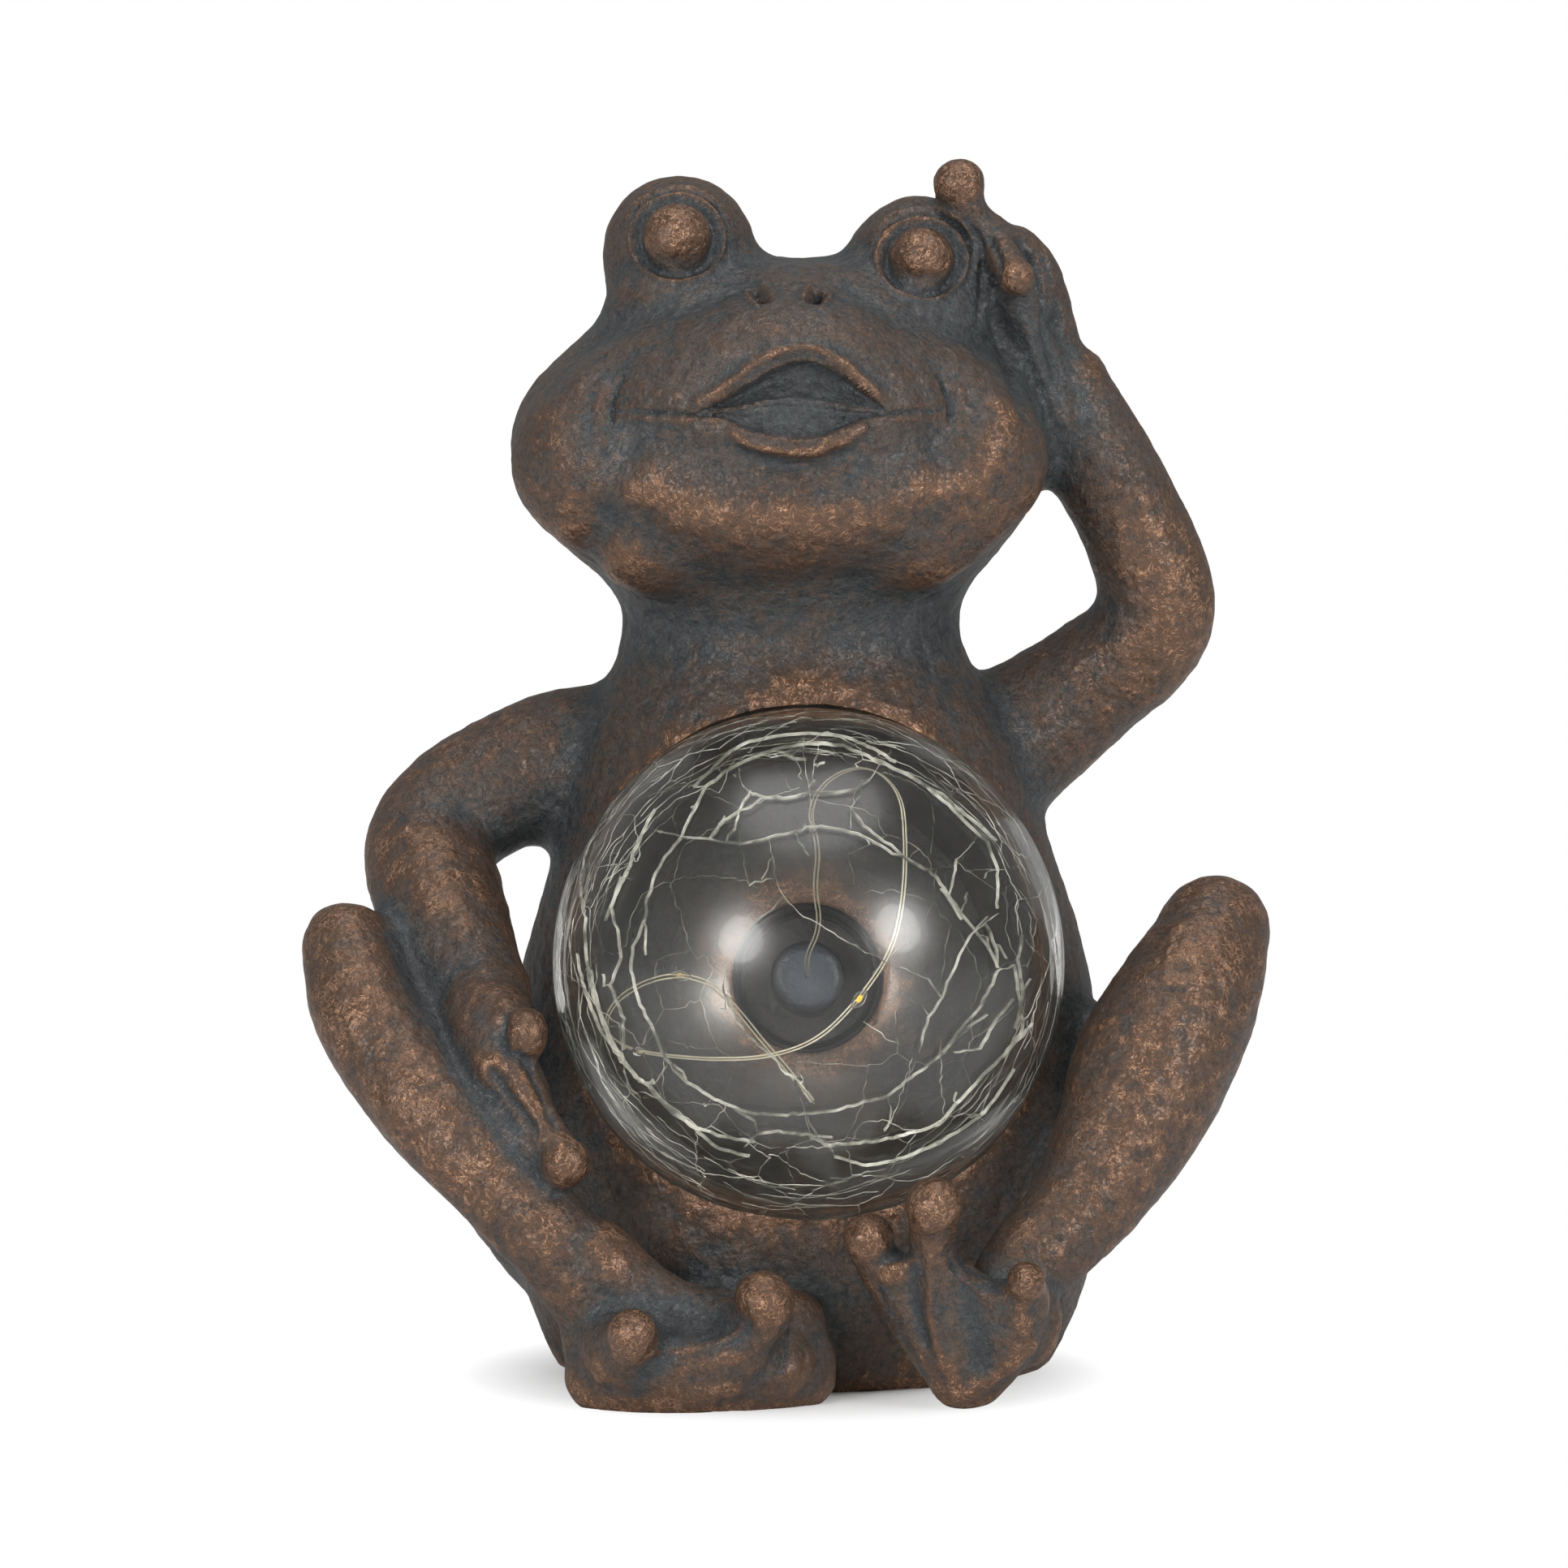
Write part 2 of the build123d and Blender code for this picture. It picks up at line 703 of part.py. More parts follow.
def globe():
    """The blown globe with its open neck."""
    glass = globe_frame * Sphere(globe_radius)
    glass += neck_rod(neck_radius, 0, neck_reach)
    glass -= globe_frame * Sphere(globe_radius - globe_wall)
    glass -= neck_rod(neck_radius - globe_wall, 0, neck_reach)
    return glass


def globe_bedding():
    """The silicone band between the glass and the dish."""
    band = globe_frame * Sphere(dish_radius - bedding_clearance)
    band -= globe_frame * Sphere(globe_radius + bedding_clearance)
    span = 2 * dish_wall_radius
    keep = globe_frame * Pos(0, 0, (bedding_low + bedding_high) / 2) * Box(
        span, span, bedding_high - bedding_low
    )
    return band & keep


def string_plug():
    """The plug that closes the neck and carries the wire of lamps."""
    plug = neck_rod(neck_radius, neck_reach, plug_high)
    plug += neck_rod(neck_radius - globe_wall - plug_clearance, plug_low, neck_reach)
    nose = Cylinder(plug_nose_radius, plug_nose_length)
    nose = fillet(nose.faces().sort_by(Axis.Z)[0].edges(), plug_nose_round)
    plug += globe_frame * Pos(0, 0, plug_low - plug_nose_length / 2) * nose
    return plug


def module_housing():
    """The tub with its flange, the posts of the board and the boss of the door's screw."""
    tub = plate(module_width, module_length, module_corner, flange_low, flange_high)
    tub += plate(tub_width, tub_length, tub_corner, tub_low, flange_high)
    tub -= plate(
        tub_width - 2 * tub_wall,
        tub_length - 2 * tub_wall,
        tub_corner - tub_wall,
        tub_floor,
        flange_high,
    )
    for side, offset in board_places:
        tub += rod(board_post_radius, tub_floor, board_low, side, offset)
        tub -= rod(
            board_screw_radius + screw_clearance, tub_floor, board_low, side, offset
        )
    tub += rod(door_boss_radius, tub_floor, flange_high, 0, lobe_offset)
    tub -= rod(door_screw_radius + screw_clearance, tub_floor, flange_high, 0, lobe_offset)
    for side, offset in cover_places:
        tub -= rod(
            cover_screw_radius + screw_clearance, flange_low, flange_high, side, offset
        )
    tub -= rod(grommet_radius, tub_low, tub_floor, grommet_side, grommet_offset)
    return tub


def door_outline(grow, low, high):
    """The door's outline with its lobe, grown by a clearance, between two depths."""
    shape = plate(
        door_width + 2 * grow, door_length + 2 * grow, door_corner + grow, low, high, 0, door_offset
    )
    return shape + rod(door_lobe_radius + grow, low, high, 0, lobe_offset)


def module_cover():
    """The face plate with its pocket for the panel, its door opening and its switch slot."""
    cover = plate(module_width, module_length, module_corner, flange_high, cover_high)
    cover -= block(
        panel_width + 2 * panel_clearance,
        panel_length + 2 * panel_clearance,
        panel_seat,
        cover_high,
        0,
        panel_offset,
    )
    cover -= block(panel_hole_width, panel_hole_length, flange_high, panel_seat, 0, panel_offset)
    cover -= door_outline(door_clearance, seal_low, cover_high)
    cover -= block(
        door_width - 2 * door_ledge, door_length - 2 * door_ledge, flange_high, seal_low, 0, door_offset
    )
    cover -= rod(door_screw_radius + screw_clearance, flange_high, seal_low, 0, lobe_offset)
    cover -= block(
        nub_width + switch_travel + 2 * slider_gap,
        nub_length + 2 * slider_gap,
        flange_high,
        cover_high,
        switch_side,
        switch_offset,
    )
    for side, offset in cover_places:
        head_low = cover_high - cover_screw_head_thickness
        cover -= rod(cover_screw_head_radius + screw_clearance, head_low, cover_high, side, offset)
        cover -= rod(cover_screw_radius + screw_clearance, flange_high, head_low, side, offset)
    return cover


def battery_door():
    """The door with its lobe, its grip grooves and the seat of its screw."""
    door = door_outline(0, door_low, cover_high)
    head_low = cover_high - door_screw_head_thickness
    door -= rod(door_screw_head_radius + screw_clearance, head_low, cover_high, 0, lobe_offset)
    door -= rod(door_screw_radius + screw_clearance, door_low, head_low, 0, lobe_offset)
    grip_low = cover_high - door_grip_depth
    side = door_width / 4
    for number in range(door_grip_count):
        offset = door_offset + (number - (door_grip_count - 1) / 2) * door_grip_pitch
        door -= block(side, door_grip_width, grip_low, cover_high, side, offset)
    return door


def door_seal():
    """The seal that lies on the ledge under the door."""
    ring = door_outline(0, seal_low, door_low)
    ring -= block(
        door_width - 2 * door_ledge, door_length - 2 * door_ledge, seal_low, door_low, 0, door_offset
    )
    return ring - rod(door_screw_radius + screw_clearance, seal_low, door_low, 0, lobe_offset)


def lying_rod(radius, start, end, depth):
    """A round rod along the module's width, in line with the cell."""
    length = end - start
    centre = Pos((start + end) / 2, door_offset, depth)
    return module_frame * centre * Rot(0, 90, 0) * Cylinder(radius, length)


def battery_cradle():
    """The moulded trough that holds the cell from below."""
    trough = block(
        tub_width - 2 * tub_wall - 2 * cradle_gap,
        cradle_width,
        tub_floor,
        -cell_depth,
        0,
        door_offset,
    )
    reach = tub_width / 2
    return trough - lying_rod(
        cell_radius + sleeve_thickness + cradle_clearance, -reach, reach, -cell_depth
    )


def positive_contact():
    """A flat plate at the cell's cap."""
    place = Pos(-(contact_outer + contact_inner) / 2, door_offset, -cell_depth)
    return module_frame * place * Box(contact_thickness, contact_width, contact_height)


def negative_contact():
    """A leaf folded from its plate, which presses on the flat end of the cell."""
    half = contact_height / 2
    tip = contact_outer - contact_bow
    outside = [
        (contact_outer, -half),
        (contact_outer, half),
        (contact_inner, half),
        (tip - contact_thickness, 0),
        (contact_inner, -half),
    ]
    inside = [
        (contact_inner, contact_thickness - half),
        (contact_inner, half - contact_thickness),
        (tip, 0),
    ]
    profile = make_face(Polyline(*outside, close=True)) - make_face(Polyline(*inside, close=True))
    place = Pos(0, door_offset - contact_width / 2, -cell_depth) * Rot(-90, 0, 0)
    return module_frame * place * extrude(profile, amount=contact_width)


def battery_cell():
    """The cell, its cap against the flat contact."""
    start = -contact_inner
    body_start = start + cell_cap_length
    cell = lying_rod(cell_cap_radius, start, body_start, -cell_depth)
    return cell + lying_rod(cell_radius, body_start, body_start + cell_length, -cell_depth)


def battery_sleeve():
    """The wrap round the cell."""
    start = cell_cap_length - contact_inner
    end = start + cell_length
    sleeve = lying_rod(cell_radius + sleeve_thickness, start, end, -cell_depth)
    return sleeve - lying_rod(cell_radius, start, end, -cell_depth)


def module_gasket():
    """The foam ring between the flange and the floor of the recess."""
    ring = plate(module_width, module_length, module_corner, -recess_depth, flange_low)
    return ring - plate(
        tub_width + 2 * tub_clearance,
        tub_length + 2 * tub_clearance,
        tub_corner + tub_clearance,
        -recess_depth,
        flange_low,
    )


def solar_cells():
    """The strips of cell, side by side."""
    width = panel_width - 2 * cell_margin
    pitch = (width + cell_gap) / cell_count
    strips = []
    for number in range(cell_count):
        side = (number - (cell_count - 1) / 2) * pitch
        length = panel_length - 2 * cell_margin
        strips.append(block(pitch - cell_gap, length, cell_low, window_low, side, panel_offset))
    return Compound(children=strips)


def panel_tabs():
    """The metal strips along the two long edges of the cells."""
    width = panel_width - 2 * cell_margin
    reach = (panel_length - cell_margin) / 2
    strips = []
    for side in (-reach, reach):
        high = cell_low + tab_thickness
        strips.append(block(width, tab_width, cell_low, high, 0, panel_offset + side))
    return Compound(children=strips)


def panel_board():
    """The board under the cells."""
    return block(panel_width, panel_length, panel_seat, cell_low, 0, panel_offset)


def panel_window():
    """The clear sheet over the cells."""
    return block(panel_width, panel_length, window_low, cover_high, 0, panel_offset)


def control_board():
    """The board on its four posts."""
    board = block(board_width, board_length, board_low, board_high, 0, board_offset)
    for side, offset in board_places:
        board -= rod(board_screw_radius + screw_clearance, board_low, board_high, side, offset)
    return board


def board_part_place(shares):
    """A place on the board, from its shares of the board's width and length."""
    return shares[0] * board_width, board_offset + shares[1] * board_length


def board_parts():
    """The chip, the coil and the capacitor."""
    chip = block(
        chip_width, chip_length, board_high, board_high + chip_thickness, *board_part_place(CHIP_SHARES)
    )
    coil = rod(coil_radius, board_high, board_high + coil_height, *board_part_place(COIL_SHARES))
    capacitor = rod(
        capacitor_radius,
        board_high,
        board_high + capacitor_height,
        *board_part_place(CAPACITOR_SHARES),
    )
    return Compound(children=[chip, coil, capacitor])


def board_screws():
    """The four screws of the board."""
    top = board_high + board_screw_head_thickness
    screws = []
    for side, offset in board_places:
        screws.append(
            screw(
                side,
                offset,
                top,
                board_screw_head_radius,
                board_screw_head_thickness,
                board_screw_radius,
                board_screw_length,
            )
        )
    return Compound(children=screws)


def cover_screws():
    """The four corner screws of the cover."""
    screws = []
    for side, offset in cover_places:
        screws.append(
            screw(
                side,
                offset,
                cover_high,
                cover_screw_head_radius,
                cover_screw_head_thickness,
                cover_screw_radius,
                cover_screw_length,
            )
        )
    return Compound(children=screws)


def door_screw():
    """The door's screw, which stays in the door."""
    return screw(
        0,
        lobe_offset,
        cover_high,
        door_screw_head_radius,
        door_screw_head_thickness,
        door_screw_radius,
        door_screw_length,
    )


def switch_case():
    """The switch's body under the cover, with the channel of its slider."""
    case = block(
        switch_case_width, switch_case_length, case_low, flange_high, switch_side, switch_offset
    )
    return case - block(
        slider_base_width + switch_travel + 2 * slider_gap,
        slider_base_length + 2 * slider_gap,
        flange_high - slider_base_thickness - 2 * slider_gap,
        flange_high,
        switch_side,
        switch_offset,
    )


def switch_slider():
    """The slider at off, its nub standing out of the cover."""
    side = switch_side - switch_travel / 2
    base_high = flange_high - slider_gap
    base_low = base_high - slider_base_thickness
    nub_high = cover_high + nub_proud
    slider = block(slider_base_width, slider_base_length, base_low, base_high, side, switch_offset)
    slider += block(nub_width, nub_length, base_high, nub_high, side, switch_offset)
    groove = nub_width / 5
    for step in (-groove, groove):
        slider -= block(
            groove / 2, nub_length, nub_high - nub_grip_depth, nub_high, side + step, switch_offset
        )
    return slider


def lead_grommet():
    """The grommet in the floor of the tub."""
    grommet = rod(grommet_radius, tub_low, tub_floor, grommet_side, grommet_offset)
    lip_radius = grommet_radius + grommet_lip
    grommet += rod(lip_radius, tub_low - grommet_lip, tub_low, grommet_side, grommet_offset)
    grommet += rod(lip_radius, tub_floor, tub_floor + grommet_lip, grommet_side, grommet_offset)
    return grommet - rod(
        string_lead_radius + lead_gap,
        tub_low - grommet_lip,
        tub_floor + grommet_lip,
        grommet_side,
        grommet_offset,
    )


def string_lead():
    """The lead from the plug through the grommet to the board."""
    points = [
        globe_frame.from_local_coords(Vector(0, 0, plug_high)),
        globe_frame.from_local_coords(Vector(0, 0, plug_high + plug_exit_run)),
    ]
    points += [
        module_frame.from_local_coords(Vector(side, door_top + up, out))
        for side, up, out in string_lead_route
    ]
    return pipe(points, string_lead_radius)[0]


def battery_leads():
    """The pair of leads from the contacts to the board."""
    leads = []
    for hand in (-1, 1):
        points = [
            module_frame.from_local_coords(Vector(hand * side, door_top + up, out))
            for side, up, out in battery_lead_route
        ]
        leads.append(pipe(points, lead_radius)[0])
    return Compound(children=leads)


def panel_leads():
    """The pair of leads from the board up to the panel."""
    leads = []
    for hand in (-1, 1):
        side = hand * PANEL_LEAD_SHARE * panel_width
        leads.append(rod(lead_radius, board_high, panel_seat, side, panel_offset))
    return Compound(children=leads)


def string_wire():
    """The twin wire in the globe, as one round tube from the plug's nose to its free end."""
    nose = globe_frame.from_local_coords(Vector(0, 0, nose_low))
    points = [nose] + [Vector(*place) for place in string_route]
    wire, radii = pipe(points, wire_radius)
    print("string_wire bend radii:", [round(radius, 1) for radius in radii])
    print("string_wire length:", round(wire.volume / (math.pi * wire_radius**2), 1))
    return wire


def string_lamps():
    """The lamp beads, each moulded round the middle of a run of the wire."""
    beads = []
    for run in lamp_runs:
        start = Vector(*string_route[run])
        end = Vector(*string_route[run + 1])
        place = Plane(origin=(start + end) / 2, z_dir=end - start)
        bead = Sphere(lamp_radius) - Cylinder(wire_radius + lamp_clearance, 2 * lamp_radius)
        beads.append(place * bead)
    return Compound(children=beads)


washer_high = boss_reach + washer_thickness
collar_high = washer_high + collar_thickness
ring_bore = neck_radius + ring_clearance

pieces = {
    "frog_casting": casting(),
    "base_plate": oval(casting_wall + base_plate_clearance, base_plate_recess, plate_top),
    "glass_globe": globe(),
    "globe_bedding": globe_bedding(),
    "neck_washer": neck_rod(washer_radius, boss_reach, washer_high)
    - neck_rod(ring_bore, boss_reach, washer_high),
    "neck_collar": neck_rod(collar_radius, washer_high, collar_high)
    - neck_rod(ring_bore, washer_high, collar_high),
    "string_plug": string_plug(),
    "string_wire": string_wire(),
    "string_lamps": string_lamps(),
    "string_lead": string_lead(),
    "module_gasket": module_gasket(),
    "module_housing": module_housing(),
    "module_cover": module_cover(),
    "cover_screws": cover_screws(),
    "panel_board": panel_board(),
    "solar_cells": solar_cells(),
    "panel_tabs": panel_tabs(),
    "panel_window": panel_window(),
    "panel_leads": panel_leads(),
    "battery_door": battery_door(),
    "door_screw": door_screw(),
    "door_seal": door_seal(),
    "battery_cell": battery_cell(),
    "battery_sleeve": battery_sleeve(),
    "battery_cradle": battery_cradle(),
    "positive_contact": positive_contact(),
    "negative_contact": negative_contact(),
    "battery_leads": battery_leads(),
    "control_board": control_board(),
    "board_parts": board_parts(),
    "board_screws": board_screws(),
    "switch_case": switch_case(),
    "switch_slider": switch_slider(),
    "lead_grommet": lead_grommet(),
}

os.makedirs("parts", exist_ok=True)
for name, piece in pieces.items():
    export_step(piece, f"parts/{name}.step")
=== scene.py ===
import math

import bpy
import numpy as np
from mathutils import Matrix, Vector
from mathutils.bvhtree import BVHTree


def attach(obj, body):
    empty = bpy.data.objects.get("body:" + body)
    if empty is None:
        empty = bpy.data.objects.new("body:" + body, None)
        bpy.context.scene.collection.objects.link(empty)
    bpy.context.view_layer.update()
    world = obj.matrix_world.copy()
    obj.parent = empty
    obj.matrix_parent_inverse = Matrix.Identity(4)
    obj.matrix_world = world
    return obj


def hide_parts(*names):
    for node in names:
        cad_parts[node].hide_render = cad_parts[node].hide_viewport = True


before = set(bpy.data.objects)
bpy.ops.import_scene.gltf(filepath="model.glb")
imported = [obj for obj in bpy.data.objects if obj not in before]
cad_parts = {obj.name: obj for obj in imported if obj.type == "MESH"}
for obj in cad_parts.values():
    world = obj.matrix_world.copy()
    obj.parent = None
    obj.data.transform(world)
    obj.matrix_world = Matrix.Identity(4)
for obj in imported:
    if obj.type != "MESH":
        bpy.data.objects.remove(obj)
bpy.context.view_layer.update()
bpy.ops.object.select_all(action="DESELECT")


# Camera. The figure was photographed from a little above the middle of its globe,
# with a long lens from about 1.4 m, so that its sides hardly converge.
camera_distance = 1.4
camera_rise = math.radians(3)
camera_aim = Vector((0, 0, 0.1175))
bpy.ops.object.camera_add(
    location=camera_aim
    + Vector((0, -camera_distance * math.cos(camera_rise), camera_distance * math.sin(camera_rise))),
    rotation=(math.radians(90) - camera_rise, 0, 0),
)
camera = bpy.context.object
camera.name = "studio_camera"
camera.data.lens = 161.8
camera.data.sensor_width = 36
camera.data.clip_end = 50
bpy.context.scene.camera = camera
bpy.context.scene.view_settings.view_transform = "Standard"


# Studio table. A plain pale sheet under the figure, lit like it and fading to the white
# of the surroundings, so that the figure keeps its soft contact shadow.
def new_material(name, colour, roughness, metallic=0):
    """A material with its main shader set, its node tree, and the place on the piece."""
    material = bpy.data.materials.new(name)
    material.use_nodes = True
    tree = material.node_tree
    shader = tree.nodes["Principled BSDF"]
    shader.inputs["Base Color"].default_value = (*colour, 1)
    shader.inputs["Roughness"].default_value = roughness
    shader.inputs["Metallic"].default_value = metallic
    place = tree.nodes.new("ShaderNodeTexCoord").outputs["Object"]
    return material, tree, shader, place


def add_math(tree, operation, a, b=None, c=None, clamp=False):
    """A sum or other operation on values or sockets."""
    node = tree.nodes.new("ShaderNodeMath")
    node.operation = operation
    node.use_clamp = clamp
    for socket, value in zip(node.inputs, (a, b, c)):
        if value is None:
            continue
        if isinstance(value, (int, float)):
            socket.default_value = value
        else:
            tree.links.new(value, socket)
    return node.outputs["Value"]


def add_vector_math(tree, operation, vector, other=None):
    """An operation on a place, and the node that holds its result."""
    node = tree.nodes.new("ShaderNodeVectorMath")
    node.operation = operation
    tree.links.new(vector, node.inputs[0])
    if other:
        node.inputs[1].default_value = other
    return node.outputs


def blend_shaders(tree, share, first, second, output="Material Output"):
    """Shows the second shader in its share over the first."""
    mix = tree.nodes.new("ShaderNodeMixShader")
    tree.links.new(share, mix.inputs["Fac"])
    tree.links.new(first, mix.inputs[1])
    tree.links.new(second, mix.inputs[2])
    tree.links.new(mix.outputs["Shader"], tree.nodes[output].inputs["Surface"])


bpy.ops.mesh.primitive_plane_add(size=8)
table = bpy.context.object
table.name = "studio_table"
table_paint, tree, shader, place = new_material("studio_white", (0.93, 0.93, 0.93), 0.9)
table_oval = add_vector_math(tree, "MULTIPLY", place, (1.0, 0.9, 1))["Vector"]
table_fade = tree.nodes.new("ShaderNodeMapRange")
table_fade.inputs["From Min"].default_value = 0.030
table_fade.inputs["From Max"].default_value = 0.064
tree.links.new(add_vector_math(tree, "LENGTH", table_oval)["Value"], table_fade.inputs["Value"])
table_ray = tree.nodes.new("ShaderNodeLightPath").outputs
table_seen = add_math(
    tree, "ADD", table_ray["Is Camera Ray"], table_ray["Is Transmission Ray"], clamp=True
)
table_far = add_math(tree, "MULTIPLY", table_fade.outputs["Result"], table_seen)
table_white = tree.nodes.new("ShaderNodeEmission")
table_white.inputs["Strength"].default_value = 1
blend_shaders(tree, table_far, shader.outputs["BSDF"], table_white.outputs["Emission"])
table.data.materials.append(table_paint)


# Light. Two soft boxes left and right of the camera, whose reflections show in the globe,
# a broad one overhead, and a pale room that fills the shadows.
for light_name, light_place, light_size, light_watts in (
    ("soft_box_left", (-0.80, -1.34, 0.46), 0.55, 8),
    ("soft_box_right", (0.98, -1.12, 0.56), 0.55, 8),
    ("soft_box_top", (0.0, -0.25, 1.5), 1.4, 9),
):
    bpy.ops.object.light_add(type="AREA", location=light_place)
    lamp = bpy.context.object
    lamp.name = light_name
    lamp.data.shape = "DISK"
    lamp.data.size = light_size
    lamp.data.energy = light_watts
    lamp.rotation_euler = (camera_aim - Vector(light_place)).to_track_quat("-Z", "Y").to_euler()
room = bpy.data.worlds.new("pale_room")
bpy.context.scene.world = room
room.use_nodes = True
tree = room.node_tree
tree.nodes["Background"].inputs["Color"].default_value = (1, 1, 1, 1)
tree.nodes["Background"].inputs["Strength"].default_value = 0.27
room_white = tree.nodes.new("ShaderNodeBackground")
room_white.inputs["Color"].default_value = (1, 1, 1, 1)
room_white.inputs["Strength"].default_value = 1
room_ray = tree.nodes.new("ShaderNodeLightPath").outputs
room_light = tree.nodes["Background"].outputs["Background"]
blend_shaders(
    tree, room_ray["Is Camera Ray"], room_light, room_white.outputs["Background"], "World Output"
)


# The string's wire. Two hair-thin copper wires in clear enamel, laid side by side, pushed
# into the globe by hand, so that they spring against the glass in one loose loop.
mm = 0.001


def pick(obj):
    """Selects one object alone, ready for the next tool."""
    bpy.ops.object.select_all(action="DESELECT")
    obj.select_set(True)
    bpy.context.view_layer.objects.active = obj


def add_noise(tree, place, scale, detail=4, roughness=0.55, stretch=None, twist=0):
    """A noise in the piece's own space."""
    noise = tree.nodes.new("ShaderNodeTexNoise")
    noise.inputs["Scale"].default_value = scale
    noise.inputs["Detail"].default_value = detail
    noise.inputs["Roughness"].default_value = roughness
    noise.inputs["Distortion"].default_value = twist
    if stretch:
        mapping = tree.nodes.new("ShaderNodeMapping")
        mapping.inputs["Scale"].default_value = stretch
        tree.links.new(place, mapping.inputs["Vector"])
        place = mapping.outputs["Vector"]
    tree.links.new(place, noise.inputs["Vector"])
    return noise.outputs["Fac"]


def add_ramp(tree, value, stops):
    """A colour for each share of a value, from a list of (share, colour)."""
    ramp = tree.nodes.new("ShaderNodeValToRGB")
    while len(ramp.color_ramp.elements) < len(stops):
        ramp.color_ramp.elements.new(0.5)
    for element, (share, colour) in zip(ramp.color_ramp.elements, stops):
        element.position = share
        element.color = (*colour, 1)
    tree.links.new(value, ramp.inputs["Fac"])
    return ramp.outputs["Color"]


def add_tone(tree, shader, value, stops):
    """Colours a finish by a value that varies over the piece."""
    tone = add_ramp(tree, value, stops)
    tree.links.new(tone, shader.inputs["Base Color"])
    return tone


wire_route = (
    (4.8, 18.572, 77.576), (4.8, 12.1, 78.5), (4.4, 7.0, 82.6), (7.4, 3.0, 89.0), (6.0, -3.0, 97.0),
    (7.0, -9.0, 105.5), (4.5, -16.0, 113.5), (9.0, -25.0, 120.5), (16.5, -35.0, 123.0),
    (22.5, -44.5, 118.0), (23.2, -51.5, 109.0), (22.8, -56.0, 98.5), (20.5, -59.0, 88.5),
    (14.2, -60.0, 79.5), (6.5, -58.5, 71.5), (-3.5, -55.5, 68.0), (-14.0, -51.0, 67.3),
    (-24.5, -43.5, 67.5), (-31.5, -34.0, 68.3), (-35.6, -22.5, 71.0), (-33.5, -10.5, 75.5),
    (-25.5, -1.5, 79.5), (-16.0, 0.5, 79.0), (-9.5, -5.5, 73.5), (-4.5, -11.5, 67.5),
    (1.0, -17.0, 62.0), (5.6, -22.0, 56.4),
)
wire_line = bpy.data.curves.new("wire_line", "CURVE")
wire_line.dimensions = "3D"
wire_spline = wire_line.splines.new("NURBS")
wire_spline.points.add(len(wire_route) - 1)
for point, (x, y, z) in zip(wire_spline.points, wire_route):
    point.co = (x * mm, y * mm, z * mm, 1)
wire_spline.order_u = 3
wire_spline.use_endpoint_u = True
wire_line.resolution_u = 8
wire_guide = bpy.data.objects.new("wire_guide", wire_line)
bpy.context.collection.objects.link(wire_guide)
wire_points = bpy.data.meshes.new_from_object(wire_guide)
bpy.ops.curve.primitive_bezier_circle_add(radius=0.17 * mm)
pair = bpy.context.object
bpy.ops.object.mode_set(mode="EDIT")
bpy.ops.transform.translate(value=(0.36 * mm, 0, 0))
bpy.ops.curve.duplicate_move(TRANSFORM_OT_translate={"value": (-0.72 * mm, 0, 0)})
bpy.ops.object.mode_set(mode="OBJECT")
pair.data.resolution_u = 2
wire_line.bevel_mode = "OBJECT"
wire_line.bevel_object = pair
wire_line.use_fill_caps = True
pick(wire_guide)
bpy.ops.object.convert(target="MESH")
wire = bpy.context.object
wire.name = "led_wire"
bpy.data.objects.remove(pair)
wire.data.shade_smooth()
enamel, tree, shader, place = new_material("enamel_wire", (0.65, 0.60, 0.46), 0.3, 0.55)
wear = add_noise(tree, place, 420, 2, 0.5)
add_tone(tree, shader, wear, ((0, (0.50, 0.44, 0.30)), (1, (0.80, 0.76, 0.62))))
wire.data.materials.append(enamel)
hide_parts("string_wire")
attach(wire, "figure")


# The casting. One hollow piece of stone-filled resin from a soft mould, first modelled by hand
# in clay. Its large forms are laid down here level by level and limb by limb, softened with a
# wet thumb, and the dish for the globe is scooped out of the belly.
def lay_ring(place, half_width, half_depth):
    """One level of the body, as a flat ring of edges."""
    bpy.ops.mesh.primitive_circle_add(vertices=36, radius=1, location=[n * mm for n in place])
    ring = bpy.context.object
    ring.scale = (half_width * mm, half_depth * mm, 1)
    bpy.ops.object.transform_apply(location=True, rotation=True, scale=True)
    return ring


def lay_ball(place, radius, stretch=(1, 1, 1), turn=(0, 0, 0)):
    """A lump of clay, stretched and turned."""
    bpy.ops.mesh.primitive_uv_sphere_add(
        segments=32, ring_count=20, radius=radius * mm, location=[n * mm for n in place]
    )
    lump = bpy.context.object
    lump.scale = stretch
    lump.rotation_euler = [math.radians(n) for n in turn]
    bpy.ops.object.transform_apply(location=True, rotation=True, scale=True)
    return lump


def lay_limb(places):
    """A limb or finger that runs smoothly through its places, each with its own radius."""
    bpy.ops.curve.primitive_bezier_curve_add(location=(0, 0, 0))
    limb = bpy.context.object
    spline = limb.data.splines[0]
    spline.bezier_points.add(len(places) - 2)
    for point, (x, y, z, radius) in zip(spline.bezier_points, places):
        point.co = (x * mm, y * mm, z * mm)
        point.radius = radius
        point.handle_left_type = "AUTO"
        point.handle_right_type = "AUTO"
    spline.radius_interpolation = "CARDINAL"
    limb.data.bevel_depth = mm
    limb.data.bevel_resolution = 6
    limb.data.resolution_u = 10
    limb.data.use_fill_caps = True
    bpy.ops.object.convert(target="MESH")
    lumps = [bpy.context.object]
    for x, y, z, radius in (places[0], places[-1]):
        lumps.append(lay_ball((x, y, z), radius * 0.995))
    return lumps


